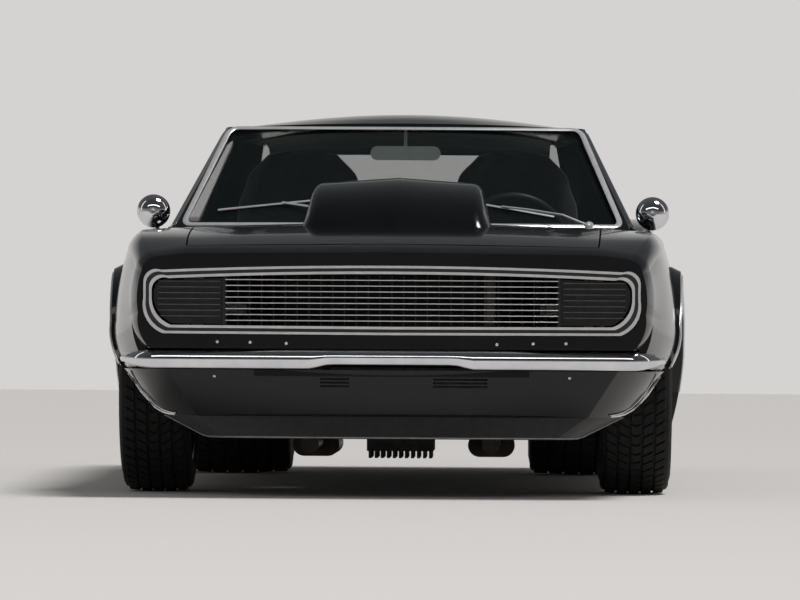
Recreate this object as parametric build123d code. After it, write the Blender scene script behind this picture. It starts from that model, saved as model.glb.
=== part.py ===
from build123d import *
from math import atan2, cos, hypot, radians, sin, sqrt
import os

# A two-door muscle car with hidden headlamps, in millimetres.
# X runs across the car with its left at +X, Y runs to the rear and Z runs up.
# While it is modelled, Y is 0 at the front axle. The origin is set when the pieces are written.

# Overall
wheelbase = 2743.0
front_overhang = 932.0
rear_overhang = 1016.0
half_width = 921.0
shut_gap = 5.0
seat_gap = 0.3
skin = 25.0
lid_skin = 22.0

# Wheels and tyres
front_tyre_radius = 325.0
front_tyre_width = 228.0
front_wheel_x = 758.0
rear_tyre_radius = 365.0
rear_tyre_width = 430.0
rear_wheel_x = 647.0
rim_radius = 216.0
rim_wall = 10.0
bead_inset = 18.0
spindle_radius = 30.0
disc_radius = 150.0
disc_thickness = 22.0
front_arch_radius = 372.0
front_arch_z = 322.0
rear_arch_radius = 390.0

# Stations along the car
nose_y = -905.0
front_panel_y = -830.0
hood_rear_y = 535.0
hood_cowl_gap = 10.0
door_front_y = 640.0
door_length = 1245.0
door_rear_y = door_front_y + door_length
rear_axle_y = wheelbase
rear_end_y = wheelbase + rear_overhang
tail_panel_y = rear_end_y - 69.0
deck_front_y = rear_axle_y - 18.0

rail_front_y = -765.0

# Heights
floor_z = 200.0
rocker_top_z = 285.0
door_bottom_z = rocker_top_z + shut_gap
belt_z = 858.0
axle_floor_z = 520.0
boot_floor_z = 420.0
roof_side_z = 1213.0

# Windows, as openings in the cabin. Columns for the side: y and z of each corner from the front.
window_low_z = 878.0
window_high_z = 1203.0
windscreen_low_x = 722.0
windscreen_high_x = 588.0
rear_window_low = (575.0, 932.0)
rear_window_high = (522.0, 1190.0)
side_window = ((792.0, 828.0), (836.0, 878.0), (1290.0, 1188.0), (door_rear_y + 105.0, 1188.0),
               (door_rear_y + 225.0, 905.0), (door_rear_y + 225.0, 895.0))
glass_depth = (9.0, 20.0, 18.0)
glass_thickness = (5.0, 11.0, 10.0)

# Doors
door_inner_x = half_width - 176.0
door_notch_x = half_width - 131.0
door_axis_inset = 46.0
door_axis_back = 60.0
hinge_pin_radius = 5.0
hinge_eye_radius = 10.0
hinge_clearance = 3.0
hinge_heights = (380.0, 650.0)
hinge_pocket_height = 60.0
hinge_strap_height = 40.0
fender_hem = 4.0
fender_hem_length = 28.0
handle_length = 105.0
handle_height = 16.0
handle_z = 780.0
handle_back = 130.0

# Wheel opening lips. Columns: y from the axle, how far the lip stands out from the side.
front_lip_rows = ((-400.0, 8.0), (-200.0, 24.0), (0.0, 35.0), (200.0, 26.0), (400.0, 12.0))
rear_lip_rows = ((-430.0, 8.0), (0.0, 18.0), (430.0, 8.0))
lip_root_x = half_width - 68.0
lip_tip_x = half_width + 4.0
lip_edge = 8.0
lip_depth = 32.0
lip_slope = 50.0

# Rocker panels
rocker_inner_x = half_width - 71.0
floor_half_width = rocker_inner_x - 70.0
rocker_bottom_z = 198.0
rocker_low_x = half_width - 59.0
rocker_high_x = half_width - 39.0
rocker_bulge = 5.0

# Mirrors
door_mirror_at = (half_width - 86.0, 850.0, 915.0)
door_mirror_radius = 56.0
door_mirror_depth = 54.0
inside_mirror_at = (0.0, 1262.0, 1128.0)
inside_mirror_width = 240.0
inside_mirror_height = 48.0

# Hood and deck lid hinges
lid_pin_radius = 4.0
lid_eye_radius = 8.0
lid_hinge_width = 30.0
lid_pocket_width = 44.0
lid_axis_inset = 5.0
hood_hinge_x = 520.0
hood_axis_z = 849.0
deck_hinge_x = 480.0
deck_axis_z = 933.0

# Grille mouth, from the front
mouth_half_width = 756.0
mouth_top_z = 711.0
mouth_bottom_z = 499.0
mouth_end_drop = 16.0
trim_width = 8.0
inner_trim_inset = 26.0
grille_half_width = 508.0
grille_plane_y = nose_y - 4.0
grille_bar_count = 8
grille_bar_pitch = 17.7
grille_bar_height = 4.0
grille_bar_depth = 9.0
grille_upright_pitch = 36.0
grille_upright_width = 3.0
grille_upright_depth = 4.0

# Hidden headlamps
lamp_door_pivot_x = 620.0
lamp_door_pivot_back = 150.0
lamp_door_thickness = 14.0
lamp_radius = 70.0
lamp_arm_thickness = 6.0
lamp_pin_radius = 5.0

# Valance and chin spoiler. Columns: (x, y) of the end, of the side's middle and of the corner, y in front.
valance_high = ((838.0, -392.0), (800.0, -660.0), (690.0, -825.0), -866.0)
valance_low = ((725.0, -392.0), (700.0, -590.0), (600.0, -730.0), -775.0)
spoiler_high = ((715.0, -470.0), (692.0, -598.0), (596.0, -728.0), -774.0)
spoiler_low = ((573.0, -640.0), (560.0, -690.0), (500.0, -770.0), -812.0)
valance_top_z = 393.0
valance_bottom_z = 250.0
valance_wall = 20.0
spoiler_bottom_z = 182.0
spoiler_wall = 8.0

# Bumpers
bumper_bottom_z = 395.0
bumper_height = 59.0
bumper_thickness = 22.0
rear_bumper_bottom_z = 470.0
rear_bumper_height = 80.0
front_bumper_rise = 57.5
rear_bumper_rise = 20.0
bumper_bend = 5000.0

# Vents in the valance. Spans: x of each one's two ends.
vent_spans = ((-218.0, -130.0), (126.0, 291.0))
vent_count = 3
vent_bottom_z = 340.0
vent_pitch = 11.0
vent_height = 6.0

# Engine, gearbox and exhaust
engine_half_width = 285.0
engine_span = (-260.0, 420.0)
engine_heights = (300.0, 790.0)
gearbox_span = (600.0, 1080.0)
gearbox_bottom_z = 120.0
fin_count = 11
fin_pitch = 20.0
exhaust_x = 300.0
exhaust_z = 140.0
exhaust_radius = 30.0
exhaust_span = (640.0, 2280.0)
silencer_span = (1250.0, 1750.0)
silencer_z = 130.0
silencer_flat = 40.0
hanger_width = 30.0

# Floor structure
tunnel_half_width = 150.0
tunnel_top_z = 340.0
floor_thickness = 20.0
tub_radius = 412.0
tub_wall = 14.0
tub_inner_x = 404.0
tub_outer_x = half_width - 69.0
# Boxes on each side. Columns: inner and outer x, front and rear y, bottom and top z.
side_boxes = (
    (330.0, 420.0, rail_front_y, 600.0, 300.0, 400.0),
    (440.0, 452.0, -670.0, 590.0, 400.0, 760.0),
    (410.0, 452.0, -670.0, 590.0, 390.0, 400.0),
    (floor_half_width, rocker_inner_x, door_front_y, rear_axle_y - 400.0, floor_z, rocker_top_z),
    (half_width - 181.0, half_width - 96.0, 560.0, door_front_y - 8.0, floor_z, 790.0),
    (half_width - 181.0, half_width - 96.0, door_front_y - 60.0, door_front_y, 210.0, rocker_top_z - 40.0),
    (600.0, floor_half_width, rear_axle_y - 432.0, rear_axle_y - 412.0, floor_z, 300.0),
    (300.0, 395.0, rear_axle_y + 392.0, tail_panel_y, boot_floor_z - 40.0, boot_floor_z),
    (404.0, 416.0, rear_axle_y - 412.0, rear_axle_y + 412.0, 250.0, rear_tyre_radius),
)
# Jack pads under the sills: places along the car, half the pad's length and how far it drops below the rocker.
jack_pad_stations = (850.0, 2200.0)
jack_pad_half = 30.0
jack_pad_drop = 8.0

# Seats and dashboard
seat_base_top_z = 240.0
cushion_half_width = 215.0
cushion_span = (1180.0, 1660.0)
cushion_heights = (240.0, 420.0)
# A seat's back seen from the front, then its lean seen from the side.
seat_back = ((0.0, 300.0), (205.0, 300.0), (212.0, 420.0), (232.0, 700.0), (150.0, 960.0, 222.0, 850.0),
             (0.0, 1072.0, 110.0, 1050.0))
seat_lean = ((1560.0, 300.0), (1680.0, 300.0), (1830.0, 1080.0), (1745.0, 1080.0))
dash_outline = ((760.0, 640.0), (905.0, 660.0), (915.0, 760.0), (880.0, 832.0, 915.0, 812.0), (760.0, 832.0))
dash_half_width = 725.0
column_radius = 24.0

# Steering
kingpin_x = 690.0
steering_wheel_radius = 175.0
steering_rim_radius = 14.0
steering_wheel_x = 370.0
steering_wheel_y = 1150.0
steering_wheel_z = 815.0
steering_tilt = 68.0

# The body's side, at stations along the car. Columns: y, then inset from half_width and z of the sill,
# the waist, the shoulder, the top corner and the inner edge.
fender_rows = (
    (front_panel_y, (171, 405), (126, 560), (136, 700), (176, 757), (290, 771)),
    (-700.0, (131, 400), (99, 552), (118, 730), (156, 785), (285, 793)),
    (-450.0, (83, 400), (53, 545), (86, 755), (126, 815), (279, 820)),
    (-150.0, (53, 400), (28, 535), (73, 765), (115, 832), (273, 840)),
    (250.0, (49, 215), (13, 525), (66, 782), (105, 840), (264, 847)),
    (door_front_y - shut_gap, (59, 200), (3, 515), (59, 800), (99, 848), (255, 851)),
)
door_rows = (
    (door_front_y, (38, door_bottom_z), (3, 515), (59, 800), (99, 848), (171, 852)),
    (door_front_y + 0.5 * door_length, (36, door_bottom_z), (0, 520), (56, 815), (95, 858), (171, 863)),
    (door_rear_y, (36, door_bottom_z), (0, 530), (53, 846), (91, 880), (171, 886)),
)
quarter_rows = (
    (door_rear_y + shut_gap, (36, door_bottom_z), (0, 530), (53, 846), (91, 880), (261, 890)),
    (rear_axle_y - 443.0, (36, door_bottom_z), (0, 570), (49, 880), (93, 925), (330, 932)),
    (rear_axle_y, (36, 300), (0, 600), (49, 893), (96, 938), (350, 941)),
    (rear_axle_y + 507.0, (51, 310), (11, 605), (59, 878), (103, 918), (370, 922)),
    (tail_panel_y, (121, 330), (55, 610), (95, 852), (131, 886), (380, 893)),
)
nose_rows = (
    (nose_y, (185, 457), (149, 565), (159, 690), (199, 735), (290, 745)),
    (nose_y + 30.0, (175, 457), (138, 563), (148, 695), (188, 746), (290, 758)),
    (front_panel_y - seat_gap, (168, 457), (126, 560), (136, 700), (176, 757), (290, 771)),
)
flank_bulges = (14.0, 8.0, 9.0)

# Hood and deck lid. Columns: y, half width, z at the side, z in the middle.
hood_rows = (
    (front_panel_y, 626.0, 771.0, 779.0),
    (-700.0, 631.0, 793.0, 804.0),
    (-450.0, 637.0, 820.0, 834.0),
    (-150.0, 643.0, 840.0, 856.0),
    (250.0, 652.0, 847.0, 862.0),
    (hood_rear_y, 659.0, 850.0, 860.0),
)
deck_rows = (
    (deck_front_y, 635.0, 938.0, 946.0),
    (rear_axle_y + 507.0, 615.0, 920.0, 930.0),
    (tail_panel_y - shut_gap, 601.0, 892.0, 902.0),
)
# Hood scoop. Columns: y, half width at the base, half width at the top, z of its top edge, z of its ridge.
scoop_rows = (
    (-340.0, 300.0, 262.0, 838.0, 846.0),
    (-240.0, 303.0, 262.0, 925.0, 936.0),
    (-80.0, 305.0, 260.0, 978.0, 992.0),
    (200.0, 305.0, 258.0, 994.0, 1012.0),
    (500.0, 305.0, 258.0, 998.0, 1019.0),
)
scoop_base_z = 830.0
scoop_wall = 14.0

# The cabin in plan, at the belt and at the roof's side. Columns: y of the front in the middle, then
# (x, y) of the front corner, of the side's two ends and of the rear corner, and y of the rear in the middle.
cabin_base = (575.0, (758.0, 720.0), (772.0, 765.0), (772.0, 2150.0), (640.0, 2700.0), 2720.0)
cabin_top = (1185.0, (600.0, 1215.0), (613.0, 1262.0), (613.0, 2030.0), (560.0, 2150.0), 2175.0)
# The roof's crown. Columns: y, z in the middle.
roof_rows = ((1140.0, 1218.0), (1400.0, 1258.0), (1650.0, 1275.0), (1900.0, 1268.0), (2220.0, 1228.0))
roof_edge_x = 640.0
roof_edge_z = 1207.0


def box(x0, x1, y0, y1, z0, z1):
    """A box between two corners."""
    return Pos((x0 + x1) / 2, (y0 + y1) / 2, (z0 + z1) / 2) * Box(x1 - x0, y1 - y0, z1 - z0)


def rod(start, end, radius):
    """A round bar between two points."""
    path = Vector(*end) - Vector(*start)
    return Solid.make_cylinder(radius, path.length, Plane(origin=start, z_dir=path))


def other_side(shape):
    """The same piece on the other side of the car."""
    return shape.mirror(Plane.YZ)


def pair(shape):
    """A piece and its mirror image."""
    return [shape, other_side(shape)]


def wire(points, to_space):
    """A closed outline. A point of four numbers is reached by an arc through its second pair."""
    edges = []
    for start, end in zip(points, points[1:] + points[:1]):
        a = to_space(*start[:2])
        b = to_space(*end[:2])
        if len(end) == 4:
            edges.append(Edge.make_three_point_arc(a, to_space(*end[2:]), b))
        else:
            edges.append(Edge.make_line(a, b))
    return Wire(edges)


def both_sides(half):
    """Close a half outline, which starts and ends in the middle, with its mirror image."""
    back = []
    for here, after in zip(half[-2::-1], half[:0:-1]):
        middle = tuple(after[2:])
        back.append((-here[0], here[1]) + ((-middle[0], middle[1]) if middle else ()))
    return [tuple(half[0][:2]) + back[-1][2:]] + list(half[1:]) + back[:-1]


def from_front(points, y0, y1):
    """An outline seen from the front, (x, z), run along the car."""
    face = Face(wire(points, lambda x, z: (x, y0, z)))
    return Solid.extrude(face, Vector(0, y1 - y0, 0))


def from_side(points, x0, x1):
    """An outline seen from the side, (y, z), run across the car."""
    face = Face(wire(points, lambda y, z: (x0, y, z)))
    return Solid.extrude(face, Vector(x1 - x0, 0, 0))


def from_above(points, z0, z1):
    """An outline seen from above, (x, y), run upwards."""
    face = Face(wire(points, lambda x, y: (x, y, z0)))
    return Solid.extrude(face, Vector(0, 0, z1 - z0))


def bow(start, end, height):
    """The end of an arc that stands out from its chord by height, to its right."""
    length = hypot(end[0] - start[0], end[1] - start[1])
    across = ((end[1] - start[1]) / length, (start[0] - end[0]) / length)
    middle = ((start[0] + end[0]) / 2, (start[1] + end[1]) / 2)
    return (*end, middle[0] + across[0] * height, middle[1] + across[1] * height)


def fall(half, drop, x):
    """How far a crown that drops by drop at half has dropped at x."""
    radius = (half * half + drop * drop) / (2 * drop)
    return radius - sqrt(radius * radius - x * x)


def loft(rows, section, ruled=False):
    """A solid through the section of each row."""
    return Solid.make_loft([section(row) for row in rows], ruled)


def flank_points(row):
    """The outer points of the body's side at a station, from the sill to the inner edge."""
    return [(half_width - inset, z) for inset, z in row[1:]]


def skin_section(row):
    """The body's side as a skin of one thickness."""
    sill, waist, shoulder, top, inner = flank_points(row)
    lower, upper, round_over = flank_bulges
    in_sill = (sill[0] - skin, sill[1])
    in_waist = (waist[0] - skin, waist[1])
    in_shoulder = (shoulder[0] - skin, shoulder[1] - 0.3 * skin)
    in_top = (top[0] - 0.4 * skin, top[1] - skin)
    in_inner = (inner[0], inner[1] - skin)
    points = [sill, bow(sill, waist, lower), bow(waist, shoulder, upper), bow(shoulder, top, round_over),
              inner, in_inner, in_top, bow(in_top, in_shoulder, -0.6 * round_over),
              bow(in_shoulder, in_waist, -upper), bow(in_waist, in_sill, -lower)]
    return wire(points, lambda x, z: (x, row[0], z))


def door_section(row):
    """A door as thick as the whole door, flat inside."""
    sill, waist, shoulder, top, inner = flank_points(row)
    lower, upper, round_over = flank_bulges
    points = [(door_inner_x, sill[1]), sill, bow(sill, waist, lower), bow(waist, shoulder, upper),
              bow(shoulder, top, round_over), inner, (door_inner_x, inner[1])]
    return wire(points, lambda x, z: (x, row[0], z))


def body_outline(row, inset):
    """The whole body across at a station, made smaller by inset, down to the sill's height."""
    sill, waist, shoulder, top, inner = [(x - inset, z) for x, z in flank_points(row)]
    lower, upper, round_over = flank_bulges
    crown = inner[1] - inset + 7.0
    half = [(0.0, sill[1] + inset), (sill[0], sill[1] + inset), bow((sill[0], sill[1] + inset), waist, lower),
            bow(waist, (shoulder[0], shoulder[1] - 0.3 * inset), upper),
            bow((shoulder[0], shoulder[1] - 0.3 * inset), (top[0] + 0.6 * inset, top[1] - inset), round_over),
            (inner[0], inner[1] - inset), (0.0, crown)]
    return both_sides(half)


def lid_section(row):
    """A lid across the car, with a slight ridge along its middle."""
    y, half, side_z, middle_z = row
    rise = middle_z - side_z
    outer = [(half, side_z), (0.0, middle_z, 0.5 * half, side_z + 0.66 * rise),
             (-half, side_z, -0.5 * half, side_z + 0.66 * rise)]
    inner = [(-half, side_z - lid_skin), (0.0, middle_z - lid_skin), (half, side_z - lid_skin)]
    return wire(outer + inner, lambda x, z: (x, y, z))


def scoop_section(row, wall=0.0):
    """The scoop across the hood, made smaller by wall."""
    y, base, top, edge_z, ridge_z = row
    base -= wall
    top -= wall
    edge_z -= wall
    ridge_z -= wall
    corner = 24.0
    drop = min(corner, 0.8 * (edge_z - scoop_base_z))
    half = [(0.0, scoop_base_z), (base, scoop_base_z), (top + 0.5 * corner, edge_z - drop),
            (top - corner, edge_z, top - 0.1 * corner, edge_z - 0.25 * drop), (0.0, ridge_z)]
    return wire(both_sides(half), lambda x, z: (x, y, z))


def station(rows, y):
    """A row of a side table, worked out at any place along the car."""
    after = next(row for row in rows[1:] if row[0] >= y or row is rows[-1])
    before = rows[rows.index(after) - 1]
    share = (y - before[0]) / (after[0] - before[0])
    pairs = zip(before[1:], after[1:])
    return (y, *[tuple(a + share * (b - a) for a, b in zip(one, other)) for one, other in pairs])


def make_lip(rows, lip_rows, axle, radius, front_end_z, rear_end_z):
    """The flared lip round a left wheel opening. It stands out from the side and slopes back to it."""
    axle_y, axle_z = axle
    reach_rows = [(station(rows, axle_y + y), reach) for y, reach in lip_rows]
    swell = Solid.make_loft([wire(body_outline(row, -reach), lambda x, z, y=row[0]: (x, y, z))
                             for row, reach in reach_rows])
    profile = [(lip_root_x, radius), (lip_tip_x, radius), (lip_tip_x, radius + lip_edge),
               (lip_tip_x - lip_slope, radius + lip_depth), (lip_root_x, radius + lip_depth)]
    wide = 2.0 * radius
    ring = wheel_profile(profile).moved(Location((0, axle_y, axle_z)))
    ring = ring & box(lip_root_x, half_width + wide, axle_y - wide, axle_y + wide, axle_z, axle_z + wide)
    for way in (-1, 1):
        ring = ring + from_above([(x, axle_y + way * away) for x, away in profile], 0.0, axle_z)
    front = box(lip_root_x, half_width + wide, axle_y - wide, axle_y, front_end_z, axle_z + wide)
    rear = box(lip_root_x, half_width + wide, axle_y, axle_y + wide, rear_end_z, axle_z + wide)
    return ring & swell & (front + rear)


def hinge_y():
    """Where the doors' hinge pins stand along the car."""
    return door_front_y + door_axis_back


def hinge_x():
    """Where the left door's hinge pins stand across the car."""
    return half_width - door_axis_inset


# Cabin: one shell with the roof, pillars and window openings


def cabin_outline(level, side_inset, front_inset, rear_inset):
    """The cabin seen from above at one level, made smaller."""
    front_y, corner, side_front, side_rear, rear, rear_y = level
    front = (corner[0] - side_inset, corner[1] + front_inset)
    back = (rear[0] - side_inset, rear[1] - rear_inset)
    front_y += front_inset
    rear_y -= rear_inset
    front_mid_y = front_y + fall(front[0], front[1] - front_y, front[0] / 2)
    back_mid_y = rear_y - fall(back[0], rear_y - back[1], back[0] / 2)
    half = [(0.0, front_y), (*front, front[0] / 2, front_mid_y),
            (side_front[0] - side_inset, side_front[1] + 0.6 * front_inset),
            (side_rear[0] - side_inset, side_rear[1]), back, (0.0, rear_y, back[0] / 2, back_mid_y)]
    return both_sides(half)


def cabin_loft(side_inset, front_inset, rear_inset, bottom_z, top_z):
    """The cabin below the roof's edge, made smaller."""
    low = wire(cabin_outline(cabin_base, side_inset, front_inset, rear_inset), lambda x, y: (x, y, bottom_z))
    high = wire(cabin_outline(cabin_top, side_inset, front_inset, rear_inset), lambda x, y: (x, y, top_z))
    return Solid.make_loft([low, high], True)


def roof_cap(inset, lower):
    """The crowned roof, above the cabin's side."""

    def section(row):
        y, middle_z = row
        half = [(0.0, roof_edge_z - 20.0 - lower), (roof_edge_x, roof_edge_z - 20.0 - lower),
                (roof_edge_x, roof_edge_z - lower),
                (0.0, middle_z - lower, roof_edge_x / 2,
                 middle_z - lower - fall(roof_edge_x, middle_z - roof_edge_z, roof_edge_x / 2))]
        return wire(both_sides(half), lambda x, z: (x, y, z))

    cut = from_above(cabin_outline(cabin_top, inset, inset, inset), 1000.0, 1400.0)
    return loft(roof_rows, section) & cut


def cabin_outer():
    """The cabin with no hollow in it."""
    return cabin_loft(0.0, 0.0, 0.0, belt_z, roof_side_z) + roof_cap(3.0, 0.0)


def window_cut(which, edge):
    """What is cut away for a window. The opening is made smaller by edge."""
    low_z = window_low_z + edge
    high_z = window_high_z - edge
    if which == "front":
        half = [(0.0, low_z), (windscreen_low_x - edge, low_z), (windscreen_high_x - edge, high_z),
                (0.0, high_z)]
        return from_front(both_sides(half), cabin_base[0] - 175.0, cabin_top[0] + 55.0)
    if which == "rear":
        low_x, low_z = rear_window_low
        high_x, high_z = rear_window_high
        half = [(0.0, low_z + edge), (low_x - edge, low_z + edge), (high_x - edge, high_z - edge),
                (0.0, high_z - edge)]
        return from_front(both_sides(half), cabin_top[-1] - 115.0, cabin_base[-1] + 180.0)
    sill, pillar, front_top, rear_top, rear_low, quarter_low = side_window
    step_y = door_rear_y + 2.0 * shut_gap
    low_edge = quarter_low[1] + edge
    points = [(sill[0] + edge, sill[1]), (pillar[0] + edge, pillar[1]),
              (front_top[0] + edge, front_top[1] - edge), (rear_top[0] - edge, rear_top[1] - edge),
              (rear_low[0] - edge, rear_low[1]), (quarter_low[0] - edge, low_edge), (step_y, low_edge),
              (step_y, sill[1])]
    return from_side(points, -half_width, half_width)


def make_roof(outer):
    """The roof with its pillars, hollow inside and open at each window."""
    hollow = cabin_loft(skin, 2.0 * skin, 1.9 * skin, belt_z - 1.0, roof_side_z - lid_skin)
    hollow = hollow + roof_cap(skin + 3.0, lid_skin)
    shell = outer - hollow
    for which in ("front", "rear", "side"):
        shell = shell - window_cut(which, 0.0)
    return shell


def glass_layer(clearance):
    """A thin layer inside the cabin's surface, from which each window is cut. Clearance widens it."""
    outer = [depth - clearance for depth in glass_depth]
    inner = [depth + thickness + clearance for depth, thickness in zip(glass_depth, glass_thickness)]
    return cabin_loft(*outer, belt_z, roof_side_z) - cabin_loft(*inner, belt_z, roof_side_z)


def make_glass(layer):
    """Windscreen, rear window, quarter windows and the two door windows."""
    top_z = roof_side_z + 90.0
    windscreen = layer & window_cut("front", seat_gap)
    rear = layer & window_cut("rear", seat_gap)
    quarter = layer & window_cut("side", seat_gap)
    quarter = quarter & box(500, half_width, door_rear_y + shut_gap, cabin_base[-1], 800, top_z)
    door = layer & window_cut("side", shut_gap)
    door = door & box(500, half_width, cabin_base[1][1] - 20.0, door_rear_y, belt_z, top_z)
    return windscreen, rear, quarter, door


# Front end


def mouth(inset):
    """The grille's mouth seen from the front, made smaller by inset."""
    side = mouth_half_width - inset
    top = mouth_top_z - inset
    bottom = mouth_bottom_z + inset
    end_x = side - 52.0
    half = [(0.0, bottom), (side - 60.0, bottom + 2.0),
            (side, 607.0, side - 14.0, bottom + 38.0), (side, top - mouth_end_drop - 34.0),
            (end_x, top - mouth_end_drop, side - 12.0, top - mouth_end_drop - 8.0),
            (0.0, top, end_x / 2, top - 0.25 * mouth_end_drop)]
    return both_sides(half)


def make_nose():
    """The panel round the grille, open behind."""
    outer = loft(nose_rows, lambda row: wire(body_outline(row, 0.0), lambda x, z: (x, row[0], z)))
    inner_rows = [(row[0] + (20.0 if row is nose_rows[0] else 1.0), *row[1:]) for row in nose_rows]
    inner = loft(inner_rows, lambda row: wire(body_outline(row, 20.0), lambda x, z: (x, row[0], z)))
    opening = from_front(mouth(seat_gap), nose_y - 60.0, nose_y + 60.0)
    hood_gap = box(-hood_rows[0][1] - shut_gap, hood_rows[0][1] + shut_gap, front_panel_y - shut_gap,
                   front_panel_y, 700, 900)
    return outer - inner - opening - hood_gap


def make_grille_frame():
    """The black band between the two trims, with a post at each side of the grille."""
    front = grille_plane_y
    band = from_front(mouth(trim_width + seat_gap), front, front + 24.0)
    hole = from_front(mouth(inner_trim_inset), front - 1.0, front + 25.0)
    posts = box(grille_half_width + seat_gap, grille_half_width + 4.0, front, front + 8.0,
                mouth_bottom_z + inner_trim_inset - 4.0, mouth_top_z - inner_trim_inset)
    frame = band - hole
    for post in pair(posts):
        frame = frame + post
    return frame


def make_grille_trim():
    """Two bright loops, one at the mouth's edge and one round the grille."""
    front = grille_plane_y
    outer = from_front(mouth(seat_gap * 2), front - 4.0, front + 20.0)
    outer = outer - from_front(mouth(trim_width), front - 5.0, front + 21.0)
    inner = from_front(mouth(inner_trim_inset - trim_width), front - 6.0, front)
    inner = inner - from_front(mouth(inner_trim_inset), front - 7.0, front + 1.0)
    return [outer, inner]


def make_grille():
    """Horizontal bars in front of uprights, joined into one grille."""
    front = grille_plane_y
    half = grille_half_width
    low = mouth_bottom_z + inner_trim_inset + seat_gap
    high = mouth_top_z - inner_trim_inset - seat_gap
    middle = (low + high) / 2 - 3.0
    bars = []
    for index in range(grille_bar_count):
        z = middle + (index - (grille_bar_count - 1) / 2) * grille_bar_pitch
        bars.append(box(-half, half, front, front + grille_bar_depth, z, z + grille_bar_height))
    count = int(half // grille_upright_pitch)
    back = front + grille_bar_depth - 2.0
    for index in range(-count, count + 1):
        x = index * grille_upright_pitch
        bars.append(box(x - grille_upright_width / 2, x + grille_upright_width / 2, back,
                        back + grille_upright_depth, low, high - 4.0))
    for x in (-half, half - 4.0):
        bars.append(box(x, x + 4.0, back, back + grille_upright_depth, low, high - 4.0))
    grille = bars[0].fuse(*bars[1:])
    return grille & from_front(mouth(inner_trim_inset + seat_gap), front - 1.0, front + 40.0)


def lamp_pivot_y():
    """Where the headlamp doors' pivots stand along the car."""
    return grille_plane_y + lamp_door_pivot_back


def make_lamp_door():
    """The left headlamp door: a grooved plate on two arms with pivot pins."""
    face_y = grille_plane_y + 14.0
    inner_x = grille_half_width + 4.0
    plate = from_front(mouth(inner_trim_inset + shut_gap), face_y, face_y + lamp_door_thickness)
    plate = plate & box(inner_x, half_width, face_y - 1, face_y + 40, 400, 800)
    low = mouth_bottom_z + inner_trim_inset + shut_gap
    for index in range(grille_bar_count):
        z = low + 10.0 + index * grille_bar_pitch
        plate = plate - box(inner_x + 8.0, 712.0, face_y - 1.0, face_y + 4.0, z, z + 9.0)
    pivot_y = lamp_pivot_y()
    arms = []
    for z in (low + 4.0, lamp_arm_top() - lamp_arm_thickness):
        outline = [(lamp_door_pivot_x - 60.0, face_y + 8.0), (lamp_door_pivot_x + 60.0, face_y + 8.0),
                   (lamp_door_pivot_x + 16.0, pivot_y), (lamp_door_pivot_x - 16.0, pivot_y,
                                                         lamp_door_pivot_x, pivot_y + 16.0)]
        arms.append(from_above(outline, z, z + lamp_arm_thickness))
    pins = rod((lamp_door_pivot_x, pivot_y, low - 14.0), (lamp_door_pivot_x, pivot_y, low + 5.0),
               lamp_pin_radius)
    top = lamp_arm_top()
    pins = pins + rod((lamp_door_pivot_x, pivot_y, top - 1.0), (lamp_door_pivot_x, pivot_y, top + 22.0),
                      lamp_pin_radius)
    return plate + arms[0] + arms[1] + pins


def lamp_arm_top():
    """The upper face of a headlamp door's upper arm."""
    return mouth_top_z - inner_trim_inset - shut_gap - mouth_end_drop - 6.0


def make_headlamp():
    """The left headlamp in its bucket, with the two ears that hold the door's pins."""
    pivot_y = lamp_pivot_y()
    low = mouth_bottom_z + inner_trim_inset + shut_gap
    top = lamp_arm_top()
    centre_z = (low + 10.0 + top - lamp_arm_thickness) / 2
    radius = min(lamp_radius, (top - low - 10.0 - lamp_arm_thickness) / 2 - shut_gap)
    lamp = rod((lamp_door_pivot_x, pivot_y - 70.0, centre_z), (lamp_door_pivot_x, pivot_y + 40.0, centre_z),
               radius)
    bulb = rod((lamp_door_pivot_x, pivot_y + 39.0, centre_z), (lamp_door_pivot_x, pivot_y + 185.0, centre_z),
               30.0)
    mast = box(lamp_door_pivot_x - 30, lamp_door_pivot_x + 30, pivot_y + 165.0, pivot_y + 185.0,
               low - 30.0, top + 26.0)
    ears = box(lamp_door_pivot_x - 14, lamp_door_pivot_x + 14, pivot_y - 14, pivot_y + 185.0,
               top + 8.0, top + 16.0)
    ears = ears + box(lamp_door_pivot_x - 14, lamp_door_pivot_x + 14, pivot_y - 14, pivot_y + 185.0,
                      low - 12.0, low - 4.0)
    bores = rod((lamp_door_pivot_x, pivot_y, low - 40.0), (lamp_door_pivot_x, pivot_y, low - 1.0),
                lamp_pin_radius + seat_gap)
    bores = bores + rod((lamp_door_pivot_x, pivot_y, top + 1.0), (lamp_door_pivot_x, pivot_y, top + 40.0),
                        lamp_pin_radius + seat_gap)
    stay = box(452.0 + seat_gap, lamp_door_pivot_x, pivot_y + 165.0, pivot_y + 185.0, 560, 600)
    return lamp + bulb + mast + stay + (ears - bores)


def band_section(ends, wall, z):
    """A closed band seen from above that goes round the nose. Ends gives its points."""
    (end_x, end_y), (side_x, side_y), (corner_x, corner_y), front_y = ends
    mid_y = front_y + fall(corner_x, corner_y - front_y, corner_x / 2)
    outer = [(-end_x, end_y), (-corner_x, corner_y, -side_x, side_y), (0.0, front_y, -corner_x / 2, mid_y),
             (corner_x, corner_y, corner_x / 2, mid_y), (end_x, end_y, side_x, side_y)]
    inner = [(end_x - wall, end_y),
             (corner_x - 0.7 * wall, corner_y + wall, side_x - wall, side_y + 0.3 * wall),
             (0.0, front_y + wall, corner_x / 2, mid_y + wall),
             (-corner_x + 0.7 * wall, corner_y + wall, -corner_x / 2, mid_y + wall),
             (-end_x + wall, end_y, -side_x + wall, side_y + 0.3 * wall)]
    return wire(outer + inner, lambda x, y: (x, y, z))


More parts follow.
